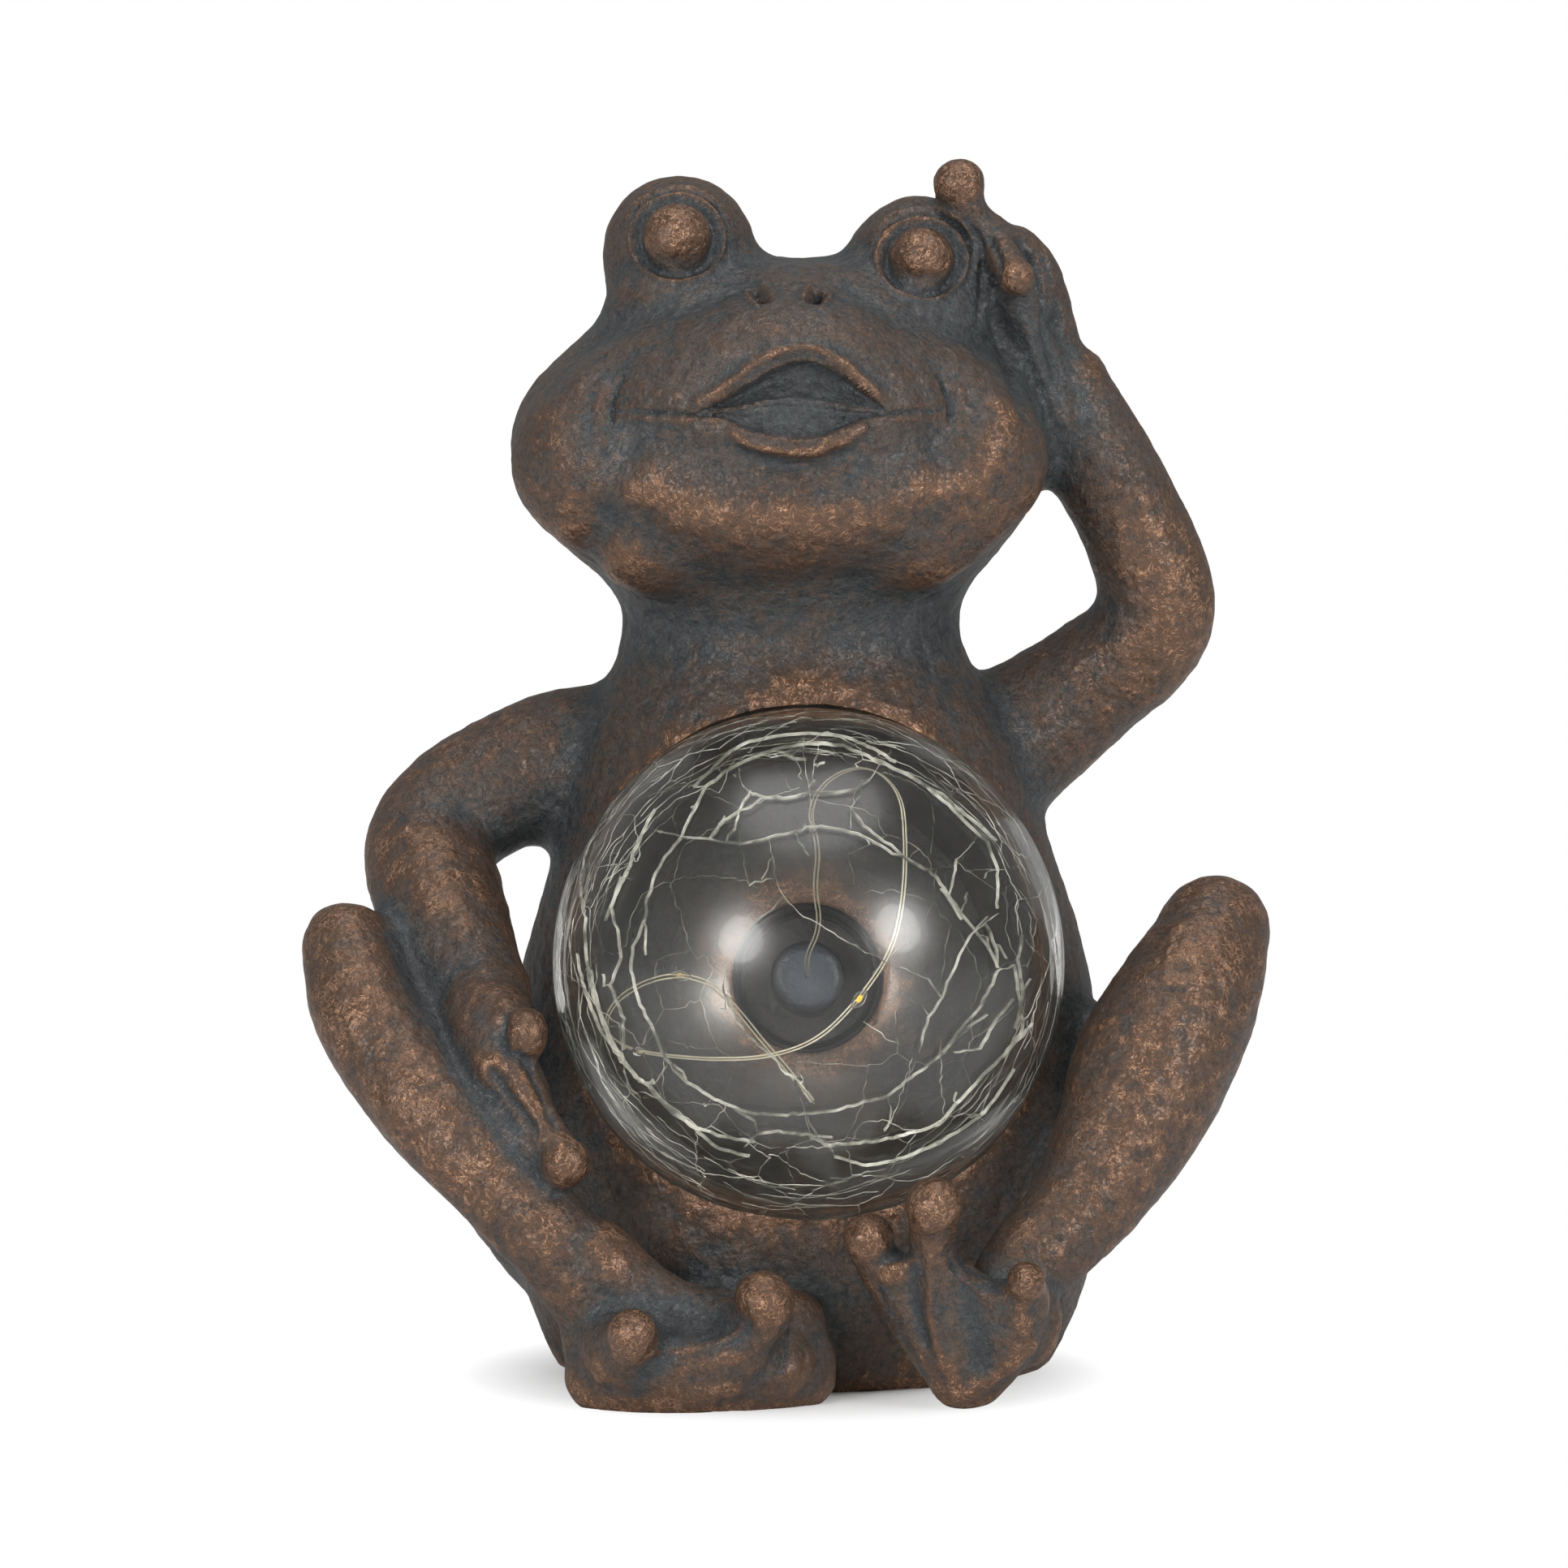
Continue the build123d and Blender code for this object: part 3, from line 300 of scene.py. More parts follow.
def lay_web(corners, thickness):
    """A web of skin between four places, of even thickness."""
    bpy.ops.mesh.primitive_plane_add(size=1)
    web = bpy.context.object
    for vertex, corner in zip(web.data.vertices, (corners[0], corners[1], corners[3], corners[2])):
        vertex.co = Vector(corner) * mm
    web.location = (0, 0, 0)
    apply_modifier(web, "SOLIDIFY", thickness=thickness * mm, offset=0)
    return web


def join_clay(name, lumps):
    """Presses lumps together into one object."""
    bpy.ops.object.select_all(action="DESELECT")
    for lump in lumps:
        lump.select_set(True)
    bpy.context.view_layer.objects.active = lumps[0]
    bpy.ops.object.join()
    whole = bpy.context.object
    whole.name = name
    return whole


def lay_levels(name, rings):
    """Closes a stack of rings to one solid form."""
    form = join_clay(name, rings)
    bpy.ops.object.mode_set(mode="EDIT")
    bpy.ops.mesh.select_all(action="SELECT")
    bpy.ops.mesh.bridge_edge_loops()
    bpy.ops.mesh.select_all(action="DESELECT")
    bpy.ops.mesh.select_non_manifold()
    bpy.ops.mesh.edge_face_add()
    bpy.ops.mesh.select_all(action="SELECT")
    bpy.ops.mesh.normals_make_consistent(inside=False)
    bpy.ops.object.mode_set(mode="OBJECT")
    return form


def press_on(clay, limbs=(), webs=(), balls=()):
    """Adds limbs, webs and lumps to the clay."""
    for places in limbs:
        clay.extend(lay_limb(places))
    for corners, thickness in webs:
        clay.append(lay_web(corners, thickness))
    for place, radius, *shape in balls:
        clay.append(lay_ball(place, radius, *shape))


def apply_modifier(obj, kind, **settings):
    """Adds one modifier to an object and applies it."""
    pick(obj)
    bpy.ops.object.modifier_add(type=kind)
    modifier = obj.modifiers[-1]
    for setting, value in settings.items():
        setattr(modifier, setting, value)
    bpy.ops.object.modifier_apply(modifier=modifier.name)


def cut_away(obj, tool):
    """Takes the tool's shape out of an object and clears the tool."""
    apply_modifier(obj, "BOOLEAN", operation="DIFFERENCE", solver="MANIFOLD", object=tool)
    bpy.data.objects.remove(tool)


def grind_foot(obj):
    """Takes away what lies below the ground."""
    bpy.ops.mesh.primitive_cube_add(size=0.4, location=(0, 0, -0.2))
    cut_away(obj, bpy.context.object)


def module_slab(width, length, corner, low, high):
    """A slab with round corners that lies in the slope of the module, between two depths."""
    bpy.ops.mesh.primitive_cube_add(size=1)
    slab = bpy.context.object
    slab.scale = (width * mm, length * mm, (high - low) * mm)
    slab.location = (0, 0, (low + high) / 2 * mm)
    bpy.ops.object.transform_apply(location=True, rotation=True, scale=True)
    bpy.ops.object.mode_set(mode="EDIT")
    bpy.ops.mesh.select_all(action="DESELECT")
    bpy.ops.object.mode_set(mode="OBJECT")
    for edge in slab.data.edges:
        a, b = (slab.data.vertices[n].co for n in edge.vertices)
        edge.select = abs(a.z - b.z) > 1e-6
    bpy.ops.object.mode_set(mode="EDIT")
    bpy.ops.mesh.select_mode(type="EDGE")
    bpy.ops.mesh.bevel(offset=corner * mm, segments=8, affect="EDGES")
    bpy.ops.mesh.select_mode(type="VERT")
    bpy.ops.object.mode_set(mode="OBJECT")
    slab.matrix_world = module_place
    bpy.ops.object.transform_apply(location=True, rotation=True, scale=True)
    return slab


module_tilt = math.radians(18)
module_place = Matrix.Translation((0.003, 0.0615, 0.096)) @ Matrix(
    (
        (-1, 0, 0, 0),
        (0, -math.sin(module_tilt), math.cos(module_tilt), 0),
        (0, math.cos(module_tilt), math.sin(module_tilt), 0),
        (0, 0, 0, 1),
    )
)
# height, half width, half depth and middle of each level of the body
body_levels = (
    (-6, 47, 47, 4, 20), (0, 50.5, 50.5, 4, 20), (14, 57.6, 55.8, 4, 19), (36, 60.6, 57.6, 4.3, 18),
    (60, 60.6, 56.6, 4.3, 18), (82, 57.6, 51.6, 4.3, 17), (106, 49.4, 44.4, 4, 15),
    (128, 43.8, 38.0, 3, 13), (141, 35.4, 31.4, 1.5, 12), (149, 32.6, 28.2, 1.3, 11),
    (157, 36.2, 31.2, 0.5, 8), (166, 45.8, 39.4, -0.5, 4.5), (175, 52.2, 44.4, -0.8, 2.5),
    (184, 54.6, 46.4, -1, 2), (193, 52.8, 45.6, -1, 2), (202, 46.0, 42.0, 0, 3),
    (210, 37.6, 37.0, 1.5, 5), (217, 29.0, 29.2, 2.5, 8), (222, 18.6, 19.0, 3, 10),
)
rings = [lay_ring((x, y, z), wide, deep) for z, wide, deep, x, y in body_levels]
trunk = lay_levels("trunk_clay", rings)
apply_modifier(trunk, "SUBSURF", levels=2, render_levels=2)

clay = [trunk]
# The right arm hangs with its hand on the knee, the left arm is bent up to the head. Thighs run
# from the hips up to the knees, shins come down and forward to the feet. Then eyes, cheeks, chin
# and snout, the throat that rounds them, and the temple that runs out into the raised hand.
press_on(
    clay,
    limbs=(
        (
            (-33, 18.5, 121, 16.4), (-46, 18.0, 120, 15.4), (-59, 15.5, 115.5, 13.9),
            (-70.4, 9.6, 106.2, 13.2), (-68.4, -3.8, 95.0, 13.2), (-63.4, -14.3, 84.1, 11.6),
            (-58.6, -23.5, 75.4, 9.8),
        ),
        (
            (34, 18, 117, 16.4), (46, 19, 125.5, 15.0), (60.5, 19.6, 136.0, 12.9),
            (74.4, 14.5, 150.8, 12.2), (70.2, 11.4, 168.0, 11.4), (62.4, 8.3, 183.0, 10.9),
            (56.6, 5.3, 197.0, 8.6),
        ),
        ((-40, 30, 30, 21.6), (-62, 9, 54, 15.4), (-76, -8, 72, 11.2), (-85.2, -18.5, 85.4, 9.4)),
        (
            (-86.0, -20.4, 86.6, 9.4), (-83.0, -26, 77.0, 10.4), (-77.2, -31.0, 66.8, 10.9),
            (-66.0, -39.0, 53.8, 10.7), (-54.0, -43.4, 41.4, 10.0), (-41.6, -45.2, 28.6, 9.6),
            (-32.0, -44.6, 15.0, 10.2),
        ),
        ((44, 30, 30, 21.6), (62, 9, 50, 16.2), (76, -3, 70, 12.8), (84.4, -10.5, 87.6, 11.0)),
        (
            (85.0, -12.7, 89.6, 11.4), (80.6, -20.2, 80.0, 14.0), (72.8, -26.6, 65.4, 16.0),
            (65.0, -33.8, 49.6, 13.6), (57.0, -39.4, 37.0, 10.8), (46.6, -45.6, 26.4, 9.2),
            (37.0, -50.0, 12.5, 8.6),
        ),
    ),
    balls=(
        ((-20.8, 3.6, 222.8), 15.7, (1, 1.05, 1)),
        ((26.8, 3.6, 219.4), 15.2, (1, 1.05, 1)),
        ((-21.0, -1, 209.5), 15.2, (1, 1.2, 0.9)),
        ((27.2, -1, 207.5), 14.8, (1, 1.2, 0.9)),
        ((-37.6, -16.0, 181.5), 16.4, (1, 0.95, 1.0)),
        ((35.6, -16.0, 182.0), 16.4, (1, 0.95, 1.0)),
        ((0, -21.0, 174.0), 19.5, (1.75, 1, 0.8)),
        ((0.4, -19.0, 200.0), 21.5, (1.3, 1.02, 0.7)),
        ((-25, -17, 168.5), 14.5, (1.1, 1, 0.9)),
        ((24, -17, 169), 14.5, (1.1, 1, 0.9)),
        ((-33.0, -16.8, 174.3), 15.0, (1, 1, 0.9)),
        ((31.2, -16.8, 175.0), 15.0, (1, 1, 0.9)),
        ((41, 3, 203), 11.5, (1, 0.9, 1.6), (0, -8, 0)),
        ((38.6, 0.5, 215), 8.2, (0.9, 1.1, 1.7), (0, -6, 0)),
    ),
)
figure = join_clay("frog_figure", clay)
apply_modifier(figure, "REMESH", mode="VOXEL", voxel_size=0.0016)
apply_modifier(figure, "SMOOTH", factor=0.5, iterations=24)

# hands, feet and the ball-shaped tips of fingers and toes are pressed on afterwards
clay = [figure]
# right hand, laid on the knee
press_on(
    clay,
    limbs=(
        ((-59, -22, 77.5, 9.4), (-57.2, -33, 71.0, 8.2), (-55.0, -40.5, 64.5, 6.4)),
        ((-57, -31, 74.5, 7.2), (-53, -38.5, 73.0, 5.2), (-50.2, -41.6, 71.6, 4.2)),
        (
            (-56, -36, 69, 6.6), (-51.0, -43.6, 61.5, 4.6), (-46.2, -47.6, 53.6, 4.0),
            (-42.6, -49.6, 48.4, 4.2),
        ),
        (
            (-59.5, -33, 68, 5.6), (-57.4, -40.6, 60.8, 3.4), (-53.6, -45.4, 53.6, 3.1),
            (-48.6, -48.0, 49.8, 3.0),
        ),
    ),
    balls=(
        ((-52.6, -41.0, 61.5), 7.2, (0.95, 0.6, 1.6), (0, -28, 0)),
        ((-49.6, -43.2, 71.4), 4.5, (0.95, 1, 1.18)),
        ((-42.0, -50.2, 47.4), 5.0),
    ),
)
# raised hand, laid flat against the temple
press_on(
    clay,
    limbs=(
        (
            (57.6, 6.0, 190.0, 8.8), (54.0, 4.6, 201, 6.4), (52.2, 3.4, 211, 5.2),
            (50.0, 1.8, 219, 4.8), (46.0, 0, 223.8, 4.6),
        ),
        (
            (48, 1.0, 214, 6.4), (45.4, -1.2, 221.8, 5.2), (40.2, -3.4, 226.0, 4.8),
            (36.8, -4.8, 229.6, 4.3), (34.8, -5.6, 233.4, 4.1),
        ),
        (
            (43.6, -1.5, 225.0, 3.8), (42.6, -6.4, 223.6, 3.6), (43.6, -10.4, 220.8, 3.5),
            (45.0, -13.2, 218.4, 3.4),
        ),
        (
            (45.6, -9.0, 215.0, 3.8), (48.0, -5.0, 207.0, 4.4), (51.2, -1.0, 199.0, 5.0),
            (55.0, 2.0, 190.0, 6.0),
        ),
    ),
    balls=(
        ((45.0, 1.6, 210.5), 9.6, (1, 0.62, 1.7), (0, 10, 0)),
        ((34.4, -6.0, 236.0), 5.2, (1.02, 1, 1)),
        ((45.4, -14.0, 217.8), 3.9),
    ),
)
# right foot, flat on the ground
press_on(
    clay,
    limbs=(
        ((-29.6, -43, 12, 11.4), (-29.8, -55, 12.0, 9.0), (-28.9, -62.0, 14.6, 5.6)),
        ((-37, -46, 28, 8.6), (-27, -47, 20, 7.8), (-15.5, -50, 15.6, 7.2), (-8, -55, 15.4, 6.2)),
        (
            (-29, -43, 11, 11.4), (-17, -52, 9.6, 9.4), (-9.5, -57.0, 12.5, 7.2),
            (-4.8, -60.2, 18.6, 5.6),
        ),
        ((-28, -37, 11, 11.6), (-10, -40, 11.4, 10.4), (1.2, -42.0, 14.6, 7.4)),
    ),
    balls=(
        ((-19.5, -53, 9.2), 10.8, (1.5, 0.95, 0.85), (0, 0, -12)),
        ((-6.0, -49, 8.4), 10.0, (1.3, 0.95, 0.85), (0, 0, 14)),
        ((1.5, -43, 8.0), 8.6, (1.0, 0.8, 1.1)),
        ((-34.2, -45.5, 13.5), 9.0, (1, 1, 1.3)),
    ),
)
press_on(
    clay,
    limbs=(
        (
            (-34, -47, 6.5, 8.5), (-27, -50.5, 5.6, 8.8), (-17, -51, 5.2, 8.4), (-6, -48, 5.2, 7.8),
            (3, -43, 5.2, 7.0),
        ),
    ),
    webs=(
        (((-31, -55, 5), (-29, -60.5, 13.0), (-16, -58.0, 12.2), (-15, -53.5, 5)), 8),
        (((-16, -53.5, 5), (-16, -58.0, 12.2), (-5.5, -58.6, 16.6), (-2, -50, 6)), 8),
    ),
    balls=(
        ((-28.8, -65.4, 16.3), 4.9),
        ((-4.0, -61.4, 21.6), 6.0, (1, 1, 1.03)),
    ),
)
# left foot, standing on its heel with the sole to the front
press_on(
    clay,
    limbs=(
        (
            (35.0, -50, 7.0, 7.4), (25.6, -52, 17.5, 6.0), (19.0, -54.0, 27.0, 4.8),
            (16.5, -55.2, 31.6, 4.4),
        ),
        (
            (34.0, -52, 6.8, 6.8), (30.0, -55.6, 18.0, 5.8), (28.6, -59.0, 31.0, 4.9),
            (28.4, -62.2, 38.6, 4.9),
        ),
        (
            (36.0, -51, 7.4, 7.4), (43.4, -54.8, 14.6, 6.0), (46.6, -59.6, 22.6, 4.4),
            (46.4, -62.4, 25.6, 3.7),
        ),
    ),
    webs=(
        (((32.5, -53.5, 2.5), (28.6, -60.6, 35.0), (33.6, -60.0, 29.0), (37.5, -54, 4.0)), 9),
        (((37.5, -54, 4.0), (33.6, -60.0, 29.0), (39.0, -60.4, 24.8), (43.0, -56, 8.5)), 9),
        (((43.0, -56, 8.5), (39.0, -60.4, 24.8), (46.0, -62.0, 24.6), (49.0, -57.0, 13.5)), 8),
        (((30.5, -53, 3.0), (24.6, -55.5, 14.0), (18.2, -56.4, 29.0), (27.8, -59.6, 31.0)), 7.5),
    ),
    balls=(
        ((46.6, -51, 17.0), 7.6, (0.9, 0.8, 1.2)),
        ((16.2, -56.0, 33.2), 5.0),
        ((28.5, -63.4, 40.4), 5.7, (1, 1, 1.06)),
        ((46.2, -65.0, 26.4), 3.8),
    ),
)
# the pad round the lamp module's opening, and the eyeballs
module_pad = (74.6, 86.6, 11)
clay.append(module_slab(*module_pad, -22, 0))
press_on(
    clay,
    balls=(
        ((-21.0, -10.4, 225.6), 6.7),
        ((27.3, -10.4, 221.4), 6.2),
    ),
)
figure = join_clay("frog_figure", clay)
apply_modifier(figure, "REMESH", mode="VOXEL", voxel_size=0.00095)
apply_modifier(figure, "SMOOTH", factor=0.5, iterations=8)
globe_middle = Vector((4.8, -25, 83.7))
dish_radius = 50.6
bpy.ops.mesh.primitive_uv_sphere_add(
    segments=128, ring_count=64, radius=dish_radius * mm, location=globe_middle * mm
)
cut_away(figure, bpy.context.object)
grind_foot(figure)

# Lids, lips, creases, webs and knuckles are then drawn into the clay with a wire tool, each
# along its own line, and the whole is dented a little by the fingers that held it.
pick(figure)
bpy.ops.object.mode_set(mode="EDIT")
bpy.ops.mesh.select_all(action="DESELECT")
bpy.ops.object.mode_set(mode="OBJECT")
skin = figure.data
for face in skin.polygons:
    x, y, z = face.center / mm
    face.select = y < 4 and 177 < z < 240 and face.normal.y < -0.12
bpy.ops.object.mode_set(mode="EDIT")
bpy.ops.mesh.subdivide(number_cuts=1)
bpy.ops.mesh.vertices_smooth(factor=0.5, repeat=4)
bpy.ops.object.mode_set(mode="OBJECT")
apply_modifier(figure, "TRIANGULATE")


def feel(mesh):
    """The places and outward directions of all points of a mesh, in millimetres."""
    places = np.empty(len(mesh.vertices) * 3)
    mesh.vertices.foreach_get("co", places)
    ways = np.empty(len(mesh.vertices) * 3)
    mesh.vertex_normals.foreach_get("vector", ways)
    return places.reshape(-1, 3) / mm, ways.reshape(-1, 3)


def settle(mesh, places):
    """Puts the points of a mesh in their new places, given in millimetres."""
    mesh.vertices.foreach_set("co", (places * mm).ravel())
    mesh.update()


def draw_line(route, closed=False):
    """A smooth line through its places, a point every 0.4 mm, with its share of the way."""
    route = np.array(route, dtype=float)
    if closed:
        ends = np.vstack([route[-1], route, route[0], route[1]])
    else:
        ends = np.vstack([2 * route[0] - route[1], route, 2 * route[-1] - route[-2]])
    line = []
    for a, b, c, d in zip(ends, ends[1:], ends[2:], ends[3:]):
        for t in np.linspace(0, 1, max(2, int(np.linalg.norm(c - b) / 0.4)), endpoint=False):
            bend = (2 * a - 5 * b + 4 * c - d) * t**2 + (3 * b - a - 3 * c + d) * t**3
            line.append(0.5 * (2 * b + (c - a) * t + bend))
    if not closed:
        line.append(route[-1])
    return np.array(line)


def on_skin(tree, line):
    """Lays a line on the clay: seen from the front where it has two numbers a place."""
    found = []
    for share, place in zip(np.linspace(0, 1, len(line)), line):
        if len(place) == 2:
            start = Vector((place[0] * mm, -0.2, place[1] * mm))
            hit = tree.ray_cast(start, Vector((0, 1, 0)))[0]
        else:
            hit = tree.find_nearest(Vector(place) * mm)[0]
        if hit is not None:
            found.append((*(hit / mm), share))
    return np.array(found)


def work_clay(mesh, strokes):
    """Draws each stroke's groove, with a negative height, or its ridge along its line."""
    places, ways = feel(mesh)
    tree = BVHTree.FromPolygons(
        [tuple(n * mm for n in place) for place in places],
        [tuple(face.vertices) for face in mesh.polygons],
    )
    moved = places.copy()
    for height, width, route, *closed in strokes:
        line = on_skin(tree, draw_line(route, bool(closed)))
        low = line[:, :3].min(axis=0) - 3 * width
        high = line[:, :3].max(axis=0) + 3 * width
        near = np.where(((places > low) & (places < high)).all(axis=1))[0]
        gaps = np.linalg.norm(places[near, None, :] - line[None, :, :3], axis=2)
        closest = gaps.argmin(axis=1)
        gap = gaps[np.arange(len(near)), closest]
        share = line[closest, 3]
        fade = 1 if closed or width > 2.5 else np.clip(np.minimum(share, 1 - share) / 0.14, 0, 1) ** 0.7
        moved[near] += ways[near] * (height * fade * np.exp(-((gap / width) ** 2)))[:, None]
    settle(mesh, moved)


def oval(x, z, wide, high, start=0, end=360):
    """Places round an eye, seen from the front, all the way or between two angles."""
    if end - start < 360:
        angles = np.linspace(start, end, 13)
    else:
        angles = np.linspace(start, end, 25)[:-1]
    return [
        (x + wide * math.cos(math.radians(a)), z + high * math.sin(math.radians(a))) for a in angles
    ]


upper_lip = (
    (-17.5, 192.9), (-12, 195.6), (-8.5, 198.2), (-5, 200.8), (-1.2, 202.7), (2.5, 203.4),
    (6, 203.2), (9.5, 201.7), (13, 199.2), (16.5, 196.0), (20.5, 193.2),
)
lower_lip = (
    (-11.5, 188.2), (-6.5, 185.4), (-2, 184.2), (2.5, 183.8), (7, 184.4), (11.5, 186.2), (16.5, 188.6),
)
mouth_line = (
    (-33.2, 191.6), (-24, 191.2), (-15, 190.8), (-8, 191.6), (-1, 192.8), (5, 192.5),
    (12, 191.3), (18, 191.0), (25, 191.4), (32.4, 191.8),
)
cheek_fold = (
    (33.8, 199.1), (40.5, 194.5), (41.5, 187), (34.5, 178.6), (22.1, 174.1), (2.7, 172.5),
    (-16.7, 173.3), (-31.0, 176.5), (-41.3, 182), (-42.8, 189), (-39.0, 195.5),
)
# broad swellings and hollows
work_clay(
    skin,
    (
        (1.5, 6.5, cheek_fold),
        (-2.0, 6.0, ((-26, 186), (-14, 180.5), (2.5, 178.4), (18, 180.5), (28, 186))),
        (-1.6, 5.0, ((-33, 198), (-34, 191), (-32, 184))),
        (-1.6, 5.0, ((32, 198), (33.4, 191), (31, 184))),
        (1.3, 8.0, ((-16, 201), (0, 207), (17, 200))),
        (-1.4, 5.0, ((-38, 205), (-30, 209.5), (-18, 212.5), (-8, 216.5))),
        (-1.4, 5.0, ((42, 205), (33, 207), (22, 210.5), (13, 216))),
        (-1.6, 4.0, ((-34.5, 170), (-38.5, 162), (-33, 152))),
    ),
)
# the open mouth, deepest under the upper lip
places, ways = feel(skin)
inner_top = np.array(
    [
        (-17, 191.6), (-10.6, 194.6), (-6.7, 197.0), (-2.8, 199.3), (1.1, 200.9), (4.2, 201.3),
        (8.1, 200.4), (12, 198.4), (15.9, 195.6), (20, 191.9),
    ]
)
inner_low = np.array(
    [
        (-17, 190.6), (-12.1, 189.8), (-9, 188.5), (-5.9, 187.1), (-1.2, 186.2), (3.4, 185.8),
        (8.1, 186.5), (12, 188.0), (15.1, 189.3), (20, 190.9),
    ]
)
tongue = np.array(mouth_line)
across, up = places[:, 0], places[:, 2]
roof = np.interp(across, inner_top[:, 0], inner_top[:, 1])
floor = np.interp(across, inner_low[:, 0], inner_low[:, 1])
middle = np.interp(across, tongue[:, 0], tongue[:, 1])
mouth_left = -17
mouth_right = 20
inside = (across > mouth_left) & (across < mouth_right) & (up < roof) & (up > floor)
inside &= (places[:, 1] < -20) & (ways[:, 1] < 0.2)
above = np.clip((up - middle) / np.maximum(roof - middle, 0.1), 0, 1)
below = np.clip((middle - up) / np.maximum(middle - floor, 0.1), 0, 1)
ends = np.clip(np.minimum(across - mouth_left, mouth_right - across) / 9, 0, 1) ** 0.6
upper_depth = 0.9 + 2.6 * np.sin(np.pi * above**1.4) ** 0.8
lower_depth = 0.9 + 1.5 * np.sin(np.pi * below) ** 0.8
depth = np.where(up > middle, upper_depth, lower_depth)
rim = np.minimum(1, np.minimum(roof - up, up - floor) / 0.7)
places[inside, 1] += (depth * ends * rim)[inside]
settle(skin, places)
# lips, mouth corners, lids and nostrils
work_clay(
    skin,
    (
        (1.35, 1.2, upper_lip),
        (1.5, 1.25, lower_lip),
        (-0.8, 1.5, ((-10, 184.4), (-3, 181.2), (2.5, 180.6), (8, 181.2), (15, 184.6))),
        (-0.75, 0.5, mouth_line),
        (0.5, 0.6, ((-14, 191.2), (-8, 192.2), (-1, 193.6), (5, 193.4), (12, 192.0), (17, 191.4))),
        (-0.5, 0.5, ((-8, 189.2), (-2, 188.2), (3, 187.8), (9, 188.4), (14, 189.6))),
        (0.35, 0.8, ((-31, 190.3), (-24, 189.9), (-17, 189.4))),
        (0.35, 0.8, ((31, 190.4), (26, 190.0), (20, 189.6))),
        (-1.1, 0.6, ((-31.0, 198.4), (-32.6, 195.6), (-33.4, 192.0), (-33.2, 188.6))),
        (-1.1, 0.6, ((29.8, 198.9), (31.3, 195.8), (32.4, 192.4), (32.2, 188.8))),
        (0.5, 1.5, ((-34.4, 197.6), (-36.0, 191.0), (-35.0, 184.0))),
        (0.5, 1.5, ((33.4, 198.4), (35.0, 191.0), (33.8, 184.0))),
        (-1.3, 1.0, oval(-21.0, 225.3, 7.8, 7.2), True),
        (0.7, 0.6, oval(-21.0, 225.3, 9.3, 8.5), True),
        (-0.8, 0.5, oval(-21.0, 225.3, 10.2, 9.3, 20, 165)),
        (0.4, 0.8, oval(-21.0, 225.3, 11.3, 10.4, 15, 165)),
        (-1.3, 1.0, oval(27.2, 221.3, 7.3, 6.7), True),
        (0.7, 0.6, oval(27.2, 221.3, 8.9, 7.9), True),
        (-0.8, 0.5, oval(27.2, 221.3, 9.7, 9.0, -20, 165)),
        (0.4, 0.8, oval(27.2, 221.3, 10.9, 10.4, 15, 165)),
        (0.8, 0.7, ((-7.4, 215.2), (-6.6, 213.4), (-5.0, 211.2))),
        (-2.8, 1.0, ((-5.9, 215.0), (-4.9, 213.6), (-3.5, 212.0))),
        (0.6, 0.7, ((-4.2, 216.2), (-2.5, 214.2), (-1.6, 212.2))),
        (0.8, 0.7, ((3.6, 212.0), (4.2, 214.4), (5.6, 216.2))),
        (-2.8, 1.0, ((5.6, 212.0), (6.4, 213.6), (7.4, 214.8))),
        (0.7, 0.7, ((6.8, 210.9), (8.2, 212.8), (9.2, 214.6))),
    ),
)
# hands and feet
work_clay(
    skin,
    (
        (-1.2, 0.9, ((-57.0, 65.6), (-53.6, 60.6), (-50.2, 56.6), (-47.2, 52.6))),
        (-0.9, 1.1, ((-52.0, 68.8), (-48.6, 64.5), (-45.8, 59.0), (-43.4, 53.6))),
        (-0.8, 0.8, ((-53.6, 75.5), (-54.2, 71.0), (-52.8, 67.0))),
        (-1.3, 1.5, ((45.0, 226.0), (48.8, 220.0), (50.6, 212.0), (52.6, 203.0), (54.4, 196.0))),
        (0.5, 1.0, ((47.0, 227.0), (51.6, 222.4), (54.0, 215.0), (55.8, 206.0))),
        (-0.9, 0.9, ((40.2, 226.0), (42.0, 221.0), (41.4, 214.5))),
        (-1.1, 2.0, ((41.6, 212.4), (42.6, 205.0), (45.0, 196.0), (48.0, 188.0))),
        (-0.8, 0.7, ((35.4, 229.8), (38.6, 224.0), (38.8, 216.0), (38.0, 208.0))),
        (0.5, 0.9, ((46.8, 210.5), (48.8, 204.0), (51.6, 197.0), (54.6, 189.0))),
        (-1.8, 4.2, ((-21.0, 17.4), (-14.0, 16.8), (-9.0, 15.6))),
        (0.7, 0.8, ((-26.0, 12.4), (-19.0, 12.6), (-12.0, 15.0), (-7.6, 18.0))),
        (-1.0, 3.4, ((-17, 6.4), (-9.0, 8.4), (-2.4, 12.0))),
        (-1.0, 1.0, ((-0.2, 18.4), (0.6, 12.4), (-1.0, 7.2))),
        (-1.4, 3.0, ((33.4, 28.0), (36.0, 20.0), (37.8, 10.0))),
        (0.6, 0.9, ((31.6, 32.0), (35.0, 27.2), (40.0, 24.8), (44.4, 24.6))),
        (0.5, 1.0, ((28.0, 34.0), (27.6, 24.0), (29.4, 13.0), (33.8, 4.0))),
        (-0.9, 1.2, ((24.4, 30.0), (24.8, 22.0), (27.6, 12.0))),
    ),
)
dents = bpy.data.textures.new("finger_dents", "CLOUDS")
dents.noise_scale = 0.016
apply_modifier(figure, "DISPLACE", texture=dents, texture_coords="LOCAL", strength=0.0011, mid_level=0.5)
grit = bpy.data.textures.new("clay_grit", "CLOUDS")
grit.noise_scale = 0.0032
grit.noise_depth = 2
